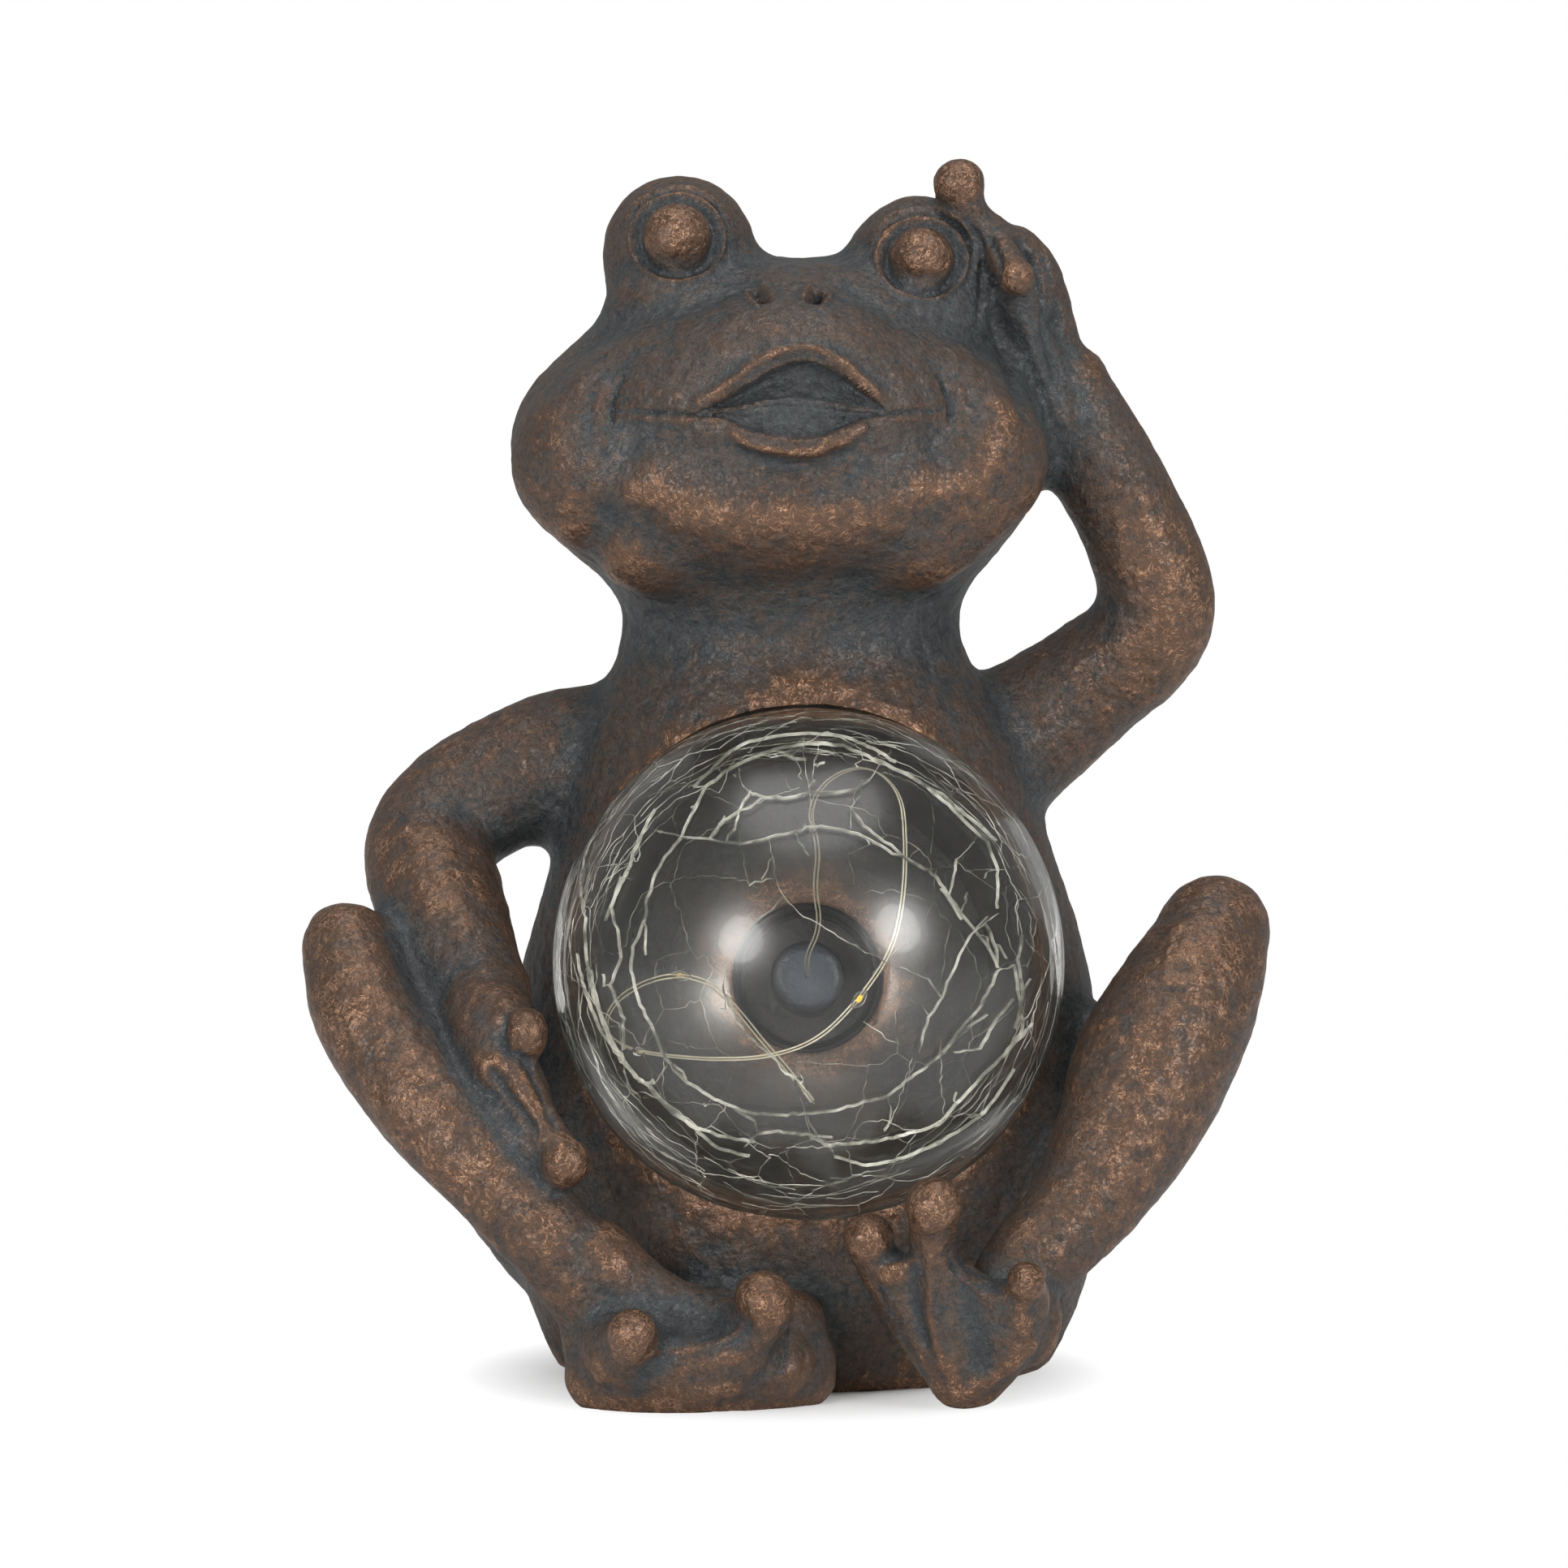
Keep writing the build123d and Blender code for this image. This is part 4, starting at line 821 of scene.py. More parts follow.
apply_modifier(figure, "DISPLACE", texture=grit, texture_coords="LOCAL", strength=0.00042, mid_level=0.5)
# The hollow that the mould's core leaves, the neck hole behind the dish, the opening in the
# back for the lamp module, and the seat of the base plate. The foot is ground flat.
neck_way = Vector((0, math.cos(math.radians(8)), -math.sin(math.radians(8))))


def neck_bar(radius, low, high):
    """A round bar along the globe's neck, between two distances from its middle."""
    bpy.ops.mesh.primitive_cylinder_add(
        vertices=64,
        radius=radius * mm,
        depth=(high - low) * mm,
        location=(globe_middle + neck_way * (low + high) / 2) * mm,
        rotation=neck_way.to_track_quat("Z", "Y").to_euler(),
    )
    return bpy.context.object


core_gap = 7.5
core_foot = 9
dish_wall = 5
boss_radius = 24
boss_reach = 57
neck_hole = 15.5
module_recess = (64.6, 76.6, 6.3)
module_well = (53, 65, 3.5)
core_rings = []
for z, wide, deep, x, y in body_levels[2:-2]:
    core_rings.append(lay_ring((x, y, max(z, core_foot)), wide - core_gap, deep - core_gap))
core = lay_levels("mould_core", core_rings)
bpy.ops.mesh.primitive_uv_sphere_add(
    segments=48, ring_count=24, radius=(dish_radius + dish_wall) * mm, location=globe_middle * mm
)
cut_away(core, bpy.context.object)
cut_away(core, neck_bar(boss_radius, 0, boss_reach))
cut_away(core, module_slab(*module_pad, -11, 12))
cut_away(figure, core)
cut_away(figure, neck_bar(neck_hole, 0, 80))
cut_away(figure, module_slab(*module_recess, -6, 20))
cut_away(figure, module_slab(*module_well, -22, 0))
# the seat of the base plate, and the opening above it through which the core comes out
for radius, height in ((44.8, 4), (41.8, 14)):
    bpy.ops.mesh.primitive_cylinder_add(
        vertices=96, radius=radius * mm, depth=0.02, location=(4 * mm, 20 * mm, height * mm - 0.01)
    )
    cut_away(figure, bpy.context.object)
grind_foot(figure)
skin = figure.data
apply_modifier(figure, "TRIANGULATE")
most_triangles = 195000
if len(skin.polygons) > most_triangles:
    apply_modifier(figure, "DECIMATE", ratio=most_triangles / len(skin.polygons))
figure.data.shade_smooth()
pick(figure)
bpy.ops.object.shade_smooth_by_angle(angle=math.radians(50))

# The finish. Slate-coloured stain lies in all that is hollow, brown covers the rest, and copper
# paint is dry-brushed over what stands up. How much a place stands up or lies deep is felt
# from the clay at three scales, and some places were brushed or stained more by hand.
skin = figure.data
places, ways = feel(skin)
edges = np.empty(len(skin.edges) * 2, dtype=np.int64)
skin.edges.foreach_get("vertices", edges)
first, second = edges.reshape(-1, 2).T
count = np.bincount(first, minlength=len(places)) + np.bincount(second, minlength=len(places))
softer = places.copy()
felt = {}
for turn in range(1, 91):
    total = np.empty_like(softer)
    for n in range(3):
        total[:, n] = np.bincount(first, softer[second, n], len(places))
        total[:, n] += np.bincount(second, softer[first, n], len(places))
    softer = 0.4 * softer + 0.6 * total / np.maximum(count, 1)[:, None]
    if turn in (3, 16, 90):
        felt[turn] = ((places - softer) * ways).sum(axis=1)
stands = (
    0.40
    + 0.20 * np.tanh(felt[90] / 3.0)
    + 0.16 * np.tanh(felt[16] / 0.6)
    + 0.12 * np.tanh(felt[3] / 0.10)
)
# places brushed with copper or stained by hand: the middle, how far it reaches and how much
brushed = (
    # copper
    ((0, -42, 172), 15, 0.10), ((-24, -34, 175), 11, 0.10), ((32, -32, 178), 10, 0.16),
    ((41, -24, 189), 6, 0.16), ((-42, -22, 186), 7, 0.10), ((2, -24, 140), 12, 0.20),
    ((20, -20, 137), 9, 0.12), ((-40, 6, 118), 12, 0.06), ((-68, -12, 96), 9, 0.12),
    ((78, 3, 153), 8, 0.12), ((66, 0, 137), 9, 0.10), ((72, 0, 168), 7, 0.10),
    ((83, -30, 82), 10, 0.12), ((70, -44, 60), 10, 0.12), ((60, -50, 44), 8, 0.08),
    ((-82, -34, 74), 9, 0.12), ((-72, -44, 60), 9, 0.10), ((-60, -50, 48), 8, 0.10),
    ((-28.8, -69, 16.3), 6, 0.16), ((-4, -66, 21.6), 7, 0.18), ((16.1, -60, 33), 6, 0.14),
    ((28.5, -68, 40), 7, 0.16), ((46, -68, 26.3), 5, 0.16), ((-49.6, -46, 71.4), 6, 0.14),
    ((-42, -54, 47.4), 6, 0.14), ((34.4, -10, 236.5), 6, 0.12), ((45.2, -17, 218.3), 5, 0.16),
    ((-21, -16, 225.6), 7.5, 0.14), ((27.3, -16, 221.4), 7, 0.16), ((2, -44, 203), 9, 0.08),
    ((3, -46, 184.6), 7, 0.14), ((61, -2, 205), 7, 0.12), ((-36, -14, 214), 5, 0.10),
    ((-34, -22, 169), 8, 0.14), ((-10, -36, 34), 10, 0.06), ((34, -56, 8), 8, 0.06),
    ((-30, -56, 6), 8, 0.04),
    # stain
    ((0, -40, 215), 22, -0.04), ((2.5, -38, 193), 8, -0.42), ((-7, -38, 191), 6, -0.22),
    ((12, -38, 192), 6, -0.22), ((-21, -6, 214), 9, -0.12), ((27, -6, 210), 9, -0.14),
    ((40, -10, 208), 10, -0.26), ((46, -8, 196), 11, -0.26), ((47, 0, 184), 9, -0.24),
    ((34, 10, 168), 10, -0.12), ((-34, 0, 152), 12, -0.14), ((34, 0, 150), 12, -0.16),
    ((-46, 10, 108), 11, -0.16), ((60, 12, 178), 9, -0.14), ((64, -6, 124), 9, -0.12),
    ((-52, 0, 60), 22, -0.22), ((54, -4, 56), 18, -0.16), ((-62, -22, 62), 9, -0.14),
    ((-18, -56, 17), 7, -0.22), ((37, -58, 20), 7, -0.20), ((36, -46, 30), 7, -0.20),
    ((4, -44, 12), 14, -0.16), ((24, -52, 18), 6, -0.16), ((50, -8, 208), 7, -0.10),
    ((0, 72, 20), 40, -0.08),
)
for middle, reach, amount in brushed:
    stands += amount * np.exp(-(((places - middle) ** 2).sum(axis=1)) / reach**2)
# the dish behind the glass was brushed over as well
stands += 0.30 * (np.linalg.norm(places - np.array(globe_middle), axis=1) < dish_radius + 0.6)
# the share of the figure that stands up less than each place
brushed_share = np.empty(len(stands))
brushed_share[stands.argsort()] = np.linspace(0, 1, len(stands))
layer = skin.attributes.new("brushed", "FLOAT", "POINT")
layer.data.foreach_set("value", brushed_share)
# how deep each place lies in a crease, kept for the painted shade in the creases
crease_shade = np.clip(-felt[3] / 0.10 - 0.35 * felt[16] / 0.5, 0, 1)
layer = skin.attributes.new("crease_shade", "FLOAT", "POINT")
layer.data.foreach_set("value", crease_shade)


def add_mix(tree, factor, a, b):
    """One colour laid over another."""
    mix = tree.nodes.new("ShaderNodeMix")
    mix.data_type = "RGBA"
    for socket, value in ((mix.inputs[0], factor), (mix.inputs[6], a), (mix.inputs[7], b)):
        if isinstance(value, (int, float)):
            socket.default_value = value
        elif isinstance(value, tuple):
            socket.default_value = (*value, 1)
        else:
            tree.links.new(value, socket)
    return mix.outputs[2]


def add_attribute(tree, name):
    """A value that was felt from the clay."""
    node = tree.nodes.new("ShaderNodeAttribute")
    node.attribute_name = name
    return node.outputs["Fac"]


def add_up(tree, start, *shares, clamp=False):
    """A number plus the given share of each value."""
    total = start
    for number, (value, share) in enumerate(shares, 1):
        last = number == len(shares)
        total = add_math(tree, "MULTIPLY_ADD", value, share, total, clamp=clamp and last)
    return total


def add_bump(tree, shader, height, distance, strength=1.0):
    """Small relief on a material, its height in the given length."""
    bump = tree.nodes.new("ShaderNodeBump")
    bump.inputs["Strength"].default_value = strength
    bump.inputs["Distance"].default_value = distance
    tree.links.new(height, bump.inputs["Height"])
    tree.links.new(bump.outputs["Normal"], shader.inputs["Normal"])


resin, tree, shader, place = new_material("patinated_resin", (0.10, 0.08, 0.07), 0.38)
raised = add_attribute(tree, "brushed")
# how deep each place lies in a crease, for the painted shade there
deep = add_attribute(tree, "crease_shade")
clouds = add_noise(tree, place, 60, 4, 0.6)
patches = add_noise(tree, place, 230, 5, 0.62)
flakes = add_noise(tree, place, 520, 8, 0.74, twist=1.6)
worms = add_noise(tree, place, 540, 3, 0.55, twist=1.3)
grains = add_noise(tree, place, 2100, 4, 0.7)
dimples = add_noise(tree, place, 290, 2, 0.5)
# the brown ground, a little uneven
ground = add_ramp(tree, flakes, ((0.36, (0.052, 0.040, 0.034)), (0.62, (0.132, 0.092, 0.070))))
# slate stain, held back where the clay stands up, with a broken edge
stain = add_up(tree, -1.45, (clouds, 0.9), (patches, 0.7), (flakes, 1.3), (raised, 1))
slate = add_ramp(tree, flakes, ((0.38, (0.040, 0.041, 0.044)), (0.62, (0.094, 0.098, 0.102))))
cover = add_ramp(tree, stain, ((0.18, (1, 1, 1)), (0.40, (0.08, 0.08, 0.08))))
colour = add_mix(tree, cover, ground, slate)
# copper rubbed on thinly, in broken flakes
rub = add_up(tree, -0.85, (patches, 0.6), (flakes, 1.1), (raised, 1))
copper = add_ramp(tree, rub, ((0.60, (0, 0, 0)), (1.0, (0.9, 0.9, 0.9))))
colour = add_mix(tree, copper, colour, (0.184, 0.106, 0.068))
# the brush caught the fine curled wrinkles of the skin, most of all where it stands up
wrinkle = add_math(tree, "ABSOLUTE", add_math(tree, "SUBTRACT", worms, 0.5))
wrinkle = add_math(tree, "MULTIPLY_ADD", wrinkle, -19.0, 1.0, clamp=True)
caught = add_up(tree, -6.2, (patches, 4.5), (raised, 5.0), clamp=True)
bright = add_math(tree, "MULTIPLY", wrinkle, caught)
bright = add_math(tree, "MULTIPLY", bright, 0.8)
colour = add_mix(tree, bright, colour, (0.62, 0.36, 0.225))
# pale bloom of verdigris in the stain, and painted shade that darkens the creases
low = add_math(tree, "SUBTRACT", 0.62, raised, clamp=True)
bloom = add_math(tree, "MULTIPLY", wrinkle, low)
bloom = add_math(tree, "MULTIPLY", bloom, 1.6, clamp=True)
colour = add_mix(tree, bloom, colour, (0.100, 0.121, 0.123))
painted_crease_shade = add_math(tree, "MULTIPLY", deep, 0.40, clamp=True)
colour = add_mix(tree, painted_crease_shade, colour, (0.030, 0.032, 0.035))
tree.links.new(colour, shader.inputs["Base Color"])
metal = add_up(tree, 0.20, (copper, 0.55), (bright, 0.30))
tree.links.new(metal, shader.inputs["Metallic"])
matt = add_up(tree, 0.38, (copper, -0.12), (bright, -0.05), (grains, 0.10))
tree.links.new(matt, shader.inputs["Roughness"])
relief = add_up(tree, 0, (dimples, 1.6), (patches, 0.5), (wrinkle, 0.14), (grains, 0.05))
add_bump(tree, shader, relief, 0.0006)
figure.data.materials.clear()
figure.data.materials.append(resin)
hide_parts("frog_casting")
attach(figure, "figure")


# The globe. Blown clear glass with a neck, 2 mm thick, chilled in water while hot so that its
# wall crazed all over, then fired again. Lamps shine through it, with a thin shadow.
def thin_shadow(tree, shader, colour=(1, 1, 1)):
    """Lets the light through a clear piece, so that its shadow is thin."""
    ray = tree.nodes.new("ShaderNodeLightPath").outputs
    passing = tree.nodes.new("ShaderNodeBsdfTransparent")
    passing.inputs["Color"].default_value = (*colour, 1)
    blend_shaders(tree, ray["Is Shadow Ray"], shader.outputs["BSDF"], passing.outputs["BSDF"])


globe_radius = 50
globe_wall = 2
neck_radius = 14.95
neck_start = 47.9
neck_root = 48.9
neck_straight = 52
neck_end = 64
bpy.ops.object.select_all(action="DESELECT")
bpy.ops.mesh.primitive_uv_sphere_add(
    segments=160,
    ring_count=100,
    radius=globe_radius * mm,
    location=globe_middle * mm,
    rotation=neck_way.to_track_quat("Z", "Y").to_euler(),
)
globe = bpy.context.object
globe.name = "crackle_globe"
bpy.ops.object.transform_apply(location=True, rotation=True, scale=True)
bpy.ops.object.mode_set(mode="EDIT")
bpy.ops.mesh.select_all(action="DESELECT")
bpy.ops.object.mode_set(mode="OBJECT")
for vertex in globe.data.vertices:
    along = (vertex.co / mm - globe_middle).dot(neck_way)
    vertex.select = along > neck_start
bpy.ops.object.mode_set(mode="EDIT")
bpy.ops.mesh.delete(type="VERT")
bpy.ops.mesh.select_all(action="DESELECT")
bpy.ops.mesh.select_non_manifold()
bpy.ops.mesh.extrude_region_move(TRANSFORM_OT_translate={"value": neck_way * 3 * mm})
bpy.ops.mesh.extrude_region_move(TRANSFORM_OT_translate={"value": neck_way * 10 * mm})
bpy.ops.object.mode_set(mode="OBJECT")
for vertex in globe.data.vertices:
    local = vertex.co / mm - globe_middle
    along = local.dot(neck_way)
    if along > neck_start:
        out = (local - neck_way * along).normalized() * neck_radius
        vertex.co = (globe_middle + out + neck_way * min(max(along, neck_root), neck_end)) * mm
apply_modifier(globe, "SOLIDIFY", thickness=globe_wall * mm, offset=-1)
for vertex in globe.data.vertices:
    local = vertex.co / mm - globe_middle
    along = local.dot(neck_way)
    if along > neck_straight:
        out = local - neck_way * along
        vertex.co = (globe_middle + out + neck_way * min(along, neck_end)) * mm
globe.data.shade_smooth()
glass, tree, shader, place = new_material("crackle_glass", (0.90, 0.895, 0.875), 0.0)
shader.inputs["IOR"].default_value = 1.13
shader.inputs["Transmission Weight"].default_value = 1
shader.inputs["Specular IOR Level"].default_value = 0.03
shader.inputs["Coat Weight"].default_value = 0.85
shader.inputs["Coat Roughness"].default_value = 0.26
shader.inputs["Coat IOR"].default_value = 1.46
add_bump(tree, shader, add_noise(tree, place, 60, 2, 0.4), 0.002, 0.12)
thin_shadow(tree, shader, (0.95, 0.94, 0.92))
globe.data.materials.append(glass)
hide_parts("glass_globe")
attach(globe, "figure")


# The crazing. Fine cracks that stand in the wall of the glass from near its outer face to near
# its inner one. Long ones wander over the front in wide cells, finer ones crowd round the sides
# in rings, as the globe was dipped and turned, and a net covers the rest.
# the long ones, as shares of the globe's radius across and up, seen from the front
crack_lines = (
    ((-0.60, 0.53), (-0.49, 0.51), (-0.39, 0.50), (-0.28, 0.48), (-0.17, 0.50), (-0.06, 0.53),
     (0.02, 0.55), (0.11, 0.54), (0.21, 0.51), (0.30, 0.46), (0.38, 0.42), (0.46, 0.38), (0.52, 0.31),
     (0.58, 0.22), (0.64, 0.15), (0.70, 0.07), (0.73, 0.00)),
    ((-0.49, 0.51), (-0.57, 0.41), (-0.62, 0.30), (-0.64, 0.18), (-0.68, 0.08), (-0.69, -0.01),
     (-0.66, -0.12), (-0.61, -0.22), (-0.57, -0.32), (-0.54, -0.37), (-0.47, -0.44), (-0.37, -0.50),
     (-0.29, -0.54), (-0.18, -0.56), (-0.04, -0.56), (0.08, -0.55), (0.19, -0.52), (0.30, -0.49),
     (0.39, -0.42), (0.50, -0.34), (0.57, -0.25), (0.65, -0.16), (0.70, -0.08), (0.73, -0.01)),
    ((-0.49, 0.51), (-0.45, 0.61), (-0.40, 0.70), (-0.31, 0.77), (-0.23, 0.81), (-0.12, 0.85),
     (0.00, 0.87), (0.13, 0.86), (0.23, 0.82), (0.37, 0.75), (0.46, 0.70), (0.54, 0.63), (0.62, 0.55),
     (0.69, 0.49), (0.73, 0.38), (0.73, 0.23)),
    ((-0.27, 0.77), (-0.27, 0.73), (-0.23, 0.68), (-0.17, 0.66), (-0.08, 0.66), (0.00, 0.68),
     (0.10, 0.68), (0.18, 0.69), (0.24, 0.73), (0.28, 0.80)),
    ((-0.23, 0.68), (-0.27, 0.61), (-0.33, 0.57), (-0.38, 0.51)),
    ((-0.27, 0.61), (-0.29, 0.54), (-0.32, 0.49)),
    ((0.18, 0.69), (0.16, 0.62), (0.21, 0.55), (0.29, 0.49), (0.38, 0.42), (0.45, 0.38)),
    ((0.16, 0.62), (0.16, 0.54)),
    ((-0.16, 0.50), (-0.14, 0.43), (-0.13, 0.35), (-0.10, 0.28), (-0.04, 0.22), (0.03, 0.18),
     (0.11, 0.13), (0.21, 0.07), (0.29, 0.03), (0.37, 0.00), (0.46, -0.04), (0.51, -0.11)),
    ((-0.10, 0.27), (-0.16, 0.22), (-0.21, 0.18)),
    ((0.51, -0.11), (0.46, -0.18), (0.44, -0.24), (0.42, -0.32)),
    ((0.51, -0.11), (0.54, -0.03), (0.58, 0.05), (0.62, 0.13), (0.68, 0.18), (0.73, 0.21)),
    ((-0.33, 0.01), (-0.33, -0.09), (-0.29, -0.19), (-0.23, -0.26), (-0.14, -0.34), (-0.09, -0.40),
     (-0.03, -0.44), (0.02, -0.52)),
    ((0.21, -0.20), (0.29, -0.26), (0.35, -0.29)),
    ((-0.20, -0.64), (-0.12, -0.63), (-0.01, -0.64), (0.06, -0.68), (0.15, -0.68), (0.26, -0.67),
     (0.39, -0.64), (0.50, -0.61), (0.57, -0.53), (0.69, -0.40), (0.79, -0.31), (0.87, -0.22)),
    ((-0.29, -0.54), (-0.21, -0.59), (-0.20, -0.64), (-0.25, -0.69)),
    ((-0.01, -0.56), (0.01, -0.61), (0.06, -0.68)),
    ((0.30, -0.49), (0.32, -0.57), (0.29, -0.63)),
    ((-0.85, 0.49), (-0.89, 0.35), (-0.87, 0.19), (-0.86, 0.00), (-0.83, -0.13), (-0.78, -0.26),
     (-0.73, -0.36), (-0.62, -0.46), (-0.52, -0.57), (-0.43, -0.62), (-0.33, -0.65), (-0.21, -0.67)),
    ((-0.73, 0.35), (-0.77, 0.23), (-0.74, 0.13), (-0.73, 0.04), (-0.77, -0.07), (-0.72, -0.20),
     (-0.72, -0.32)),
    ((-0.60, 0.61), (-0.66, 0.49), (-0.70, 0.38), (-0.74, 0.30), (-0.79, 0.18)),
    ((-0.45, 0.70), (-0.37, 0.78), (-0.31, 0.84), (-0.23, 0.88), (-0.12, 0.90), (0.00, 0.91),
     (0.13, 0.90), (0.23, 0.86), (0.34, 0.80)),
    ((-0.02, 0.90), (-0.02, 0.81), (0.00, 0.67), (0.01, 0.55)),
    ((0.04, 0.86), (0.02, 0.78), (0.02, 0.71)),
    ((-0.12, 0.84), (-0.06, 0.81), (-0.01, 0.81)),
    ((-0.66, -0.44), (-0.76, -0.30), (-0.82, -0.16), (-0.85, -0.01)),
    ((0.58, 0.22), (0.54, 0.28), (0.57, 0.42), (0.64, 0.49)),
    ((0.68, 0.18), (0.72, 0.09), (0.73, 0.02)),
    ((0.64, 0.15), (0.69, 0.20)),
    ((0.56, -0.32), (0.66, -0.31), (0.72, -0.20), (0.79, -0.12)),
    ((0.49, -0.35), (0.60, -0.24), (0.69, -0.18)),
    ((-0.54, -0.37), (-0.60, -0.45), (-0.66, -0.44)),
    ((-0.72, -0.34), (-0.80, -0.26), (-0.86, -0.12), (-0.90, 0.05)),
    ((0.73, -0.01), (0.79, 0.01), (0.81, -0.09), (0.83, -0.24), (0.75, -0.35)),
    ((0.83, 0.13), (0.81, 0.03), (0.83, -0.11), (0.80, -0.24)),
    ((-0.62, -0.46), (-0.48, -0.59), (-0.35, -0.70), (-0.23, -0.73)),
    ((0.07, -0.68), (0.10, -0.73), (0.22, -0.77), (0.37, -0.74), (0.53, -0.67), (0.68, -0.57),
     (0.80, -0.40)),
    ((0.46, 0.70), (0.52, 0.67), (0.61, 0.59), (0.73, 0.49)),
    ((0.51, 0.31), (0.57, 0.22), (0.59, 0.19)),
)
chance = np.random.default_rng(11)
crack_points = []
crack_faces = []


def add_crack(places, widths, outer, inner):
    """A thin standing strip that follows places on the globe, from an outer to an inner radius."""
    start = len(crack_points)
    for number, (way, width) in enumerate(zip(places, widths)):
        before = places[max(number - 1, 0)]
        after = places[min(number + 1, len(places) - 1)]
        side = (after - before).cross(way).normalized() * width / 2
        for radius in (outer, inner):
            for hand in (-1, 1):
                crack_points.append(tuple((globe_middle + way * radius + side * hand) * mm))
    for number in range(len(places) - 1):
        a = start + 4 * number
        b = a + 4
        crack_faces.extend(((a, b, b + 1, a + 1), (a + 2, a + 3, b + 3, b + 2)))
        crack_faces.extend(((a, a + 2, b + 2, b), (a + 1, b + 1, b + 3, a + 3)))
    last = start + 4 * (len(places) - 1)
    crack_faces.extend(((start, start + 1, start + 3, start + 2), (last, last + 2, last + 3, last + 1)))


def run_crack(ways, thick, deep=1.0, shake=0.003):
    """Runs one crack over the globe through the given directions, thinner at its ends."""
    places = []
    for a, b in zip(ways, ways[1:]):
        steps = max(2, int(a.angle(b) * globe_radius / 1.1))
        for number in range(steps):
            jitter = Vector(chance.normal(size=3)) * shake
            places.append((a.slerp(b, number / steps) + jitter).normalized())
    places.append(ways[-1])
    ends = max(len(places) - 1, 1)
    widths = []
    for number in range(len(places)):
        swell = 0.45 + 0.55 * math.sin(math.pi * min(max(number / ends, 0.05), 0.95))
        widths.append(thick * chance.uniform(0.55, 1.3) * swell)
    outer = globe_radius - 0.25 - chance.uniform(0, 0.5)
    add_crack(places, widths, outer, outer - deep)


def from_front(across, up):
    """The direction of a place of the globe's front, from its shares of the radius as seen."""
    near = math.sqrt(max(0, 1 - across**2 - up**2))
    return Vector(
        (
            across,
            up * math.sin(camera_rise) - near * math.cos(camera_rise),
            up * math.cos(camera_rise) + near * math.sin(camera_rise),
        )
    ).normalized()


for line in crack_lines:
    ways = [from_front(across, up) for across, up in line]
    run_crack(ways, 0.095)
# short forks off the long cracks
for line in crack_lines:
    for across, up in line[1:-1]:
        if chance.random() < 0.35:
            root = from_front(across, up)
            bend = root.cross(Vector(chance.normal(size=3))).normalized()
            reach = chance.uniform(0.04, 0.11)
            halfway = root + bend * reach / 2 + Vector(chance.normal(size=3)) * 0.01
            tip = root + bend * reach + Vector(chance.normal(size=3)) * 0.02
            run_crack([root, halfway.normalized(), tip.normalized()], 0.07, 0.8, 0.004)
# rings that crowd towards the sides
for number in range(90):
    ring = math.sqrt(chance.uniform(0.66, 0.998))
    turn = chance.uniform(0, 2 * math.pi)
    reach = chance.uniform(0.15, 0.75)
    wander = chance.normal() * 0.02
    ways = []
    for share in np.linspace(0, 1, 7):
        angle = turn + reach * share
        width = min(0.999, ring + wander * (share - 0.5) + 0.006 * math.sin(9 * share + turn))
        ways.append(from_front(width * math.cos(angle), width * math.sin(angle)))
    run_crack(ways, 0.08, 0.18, 0.0035)
# the net over the sides and the back
seeds = []
while len(seeds) < 170:
    way = chance.normal(size=3)
    way /= np.linalg.norm(way)
    if all(np.dot(way, other) < math.cos(math.radians(8.5)) for other in seeds):
        seeds.append(way)
bpy.ops.mesh.primitive_plane_add(size=1)
net = bpy.context.object
net.name = "crack_net"
seed_mesh = bpy.data.meshes.new("crack_seeds")
seed_mesh.from_pydata([tuple(way) for way in seeds], [], [])
net.data = seed_mesh
bpy.ops.object.mode_set(mode="EDIT")
bpy.ops.mesh.select_all(action="SELECT")
bpy.ops.mesh.convex_hull()
bpy.ops.mesh.quads_convert_to_tris()
bpy.ops.object.mode_set(mode="OBJECT")
beside = {}
for face in net.data.polygons:
    for key in face.edge_keys:
        beside.setdefault(key, []).append(face.normal.normalized())
bpy.data.objects.remove(net)
for middles in beside.values():
    if len(middles) != 2:
        continue
    first_end, last_end = (Vector(way) for way in middles)
    angle = first_end.angle(last_end)
    centre = (first_end + last_end).normalized()
    front = 0.60 if centre.z > -0.30 else 0.84
    if angle < 0.01 or centre.dot(neck_way) > 0.93 or -centre.y > front:
        continue
    if chance.random() < 0.12:
        continue
    bulge = (centre + Vector(chance.normal(size=3)) * 0.012).normalized()
    run_crack([first_end, bulge, last_end], 0.08, 0.25, 0.004)
crack_mesh = bpy.data.meshes.new("globe_cracks")
crack_mesh.from_pydata(crack_points, [], crack_faces)
cracks = bpy.data.objects.new("globe_cracks", crack_mesh)
bpy.context.collection.objects.link(cracks)
pick(cracks)
bpy.ops.object.mode_set(mode="EDIT")
bpy.ops.mesh.select_all(action="SELECT")
bpy.ops.mesh.normals_make_consistent(inside=False)
bpy.ops.object.mode_set(mode="OBJECT")
# The cracks are pale, brighter in patches, and glow faintly: painted glints and a painted glow, in place
# of the light that the cracks catch in the glass.
crack_painted_light, tree, shader, place = new_material("crack_painted_light", (0.55, 0.55, 0.50), 0.22, 0.25)
glint = add_noise(tree, place, 160, 3, 0.6)
glint_tone = add_tone(
    tree, shader, glint, ((0.40, (0.185, 0.19, 0.155)), (0.66, (0.86, 0.86, 0.76)))
)
tree.links.new(glint_tone, shader.inputs["Emission Color"])
shader.inputs["Emission Strength"].default_value = 0.08
cracks.data.materials.append(crack_painted_light)
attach(cracks, "figure")


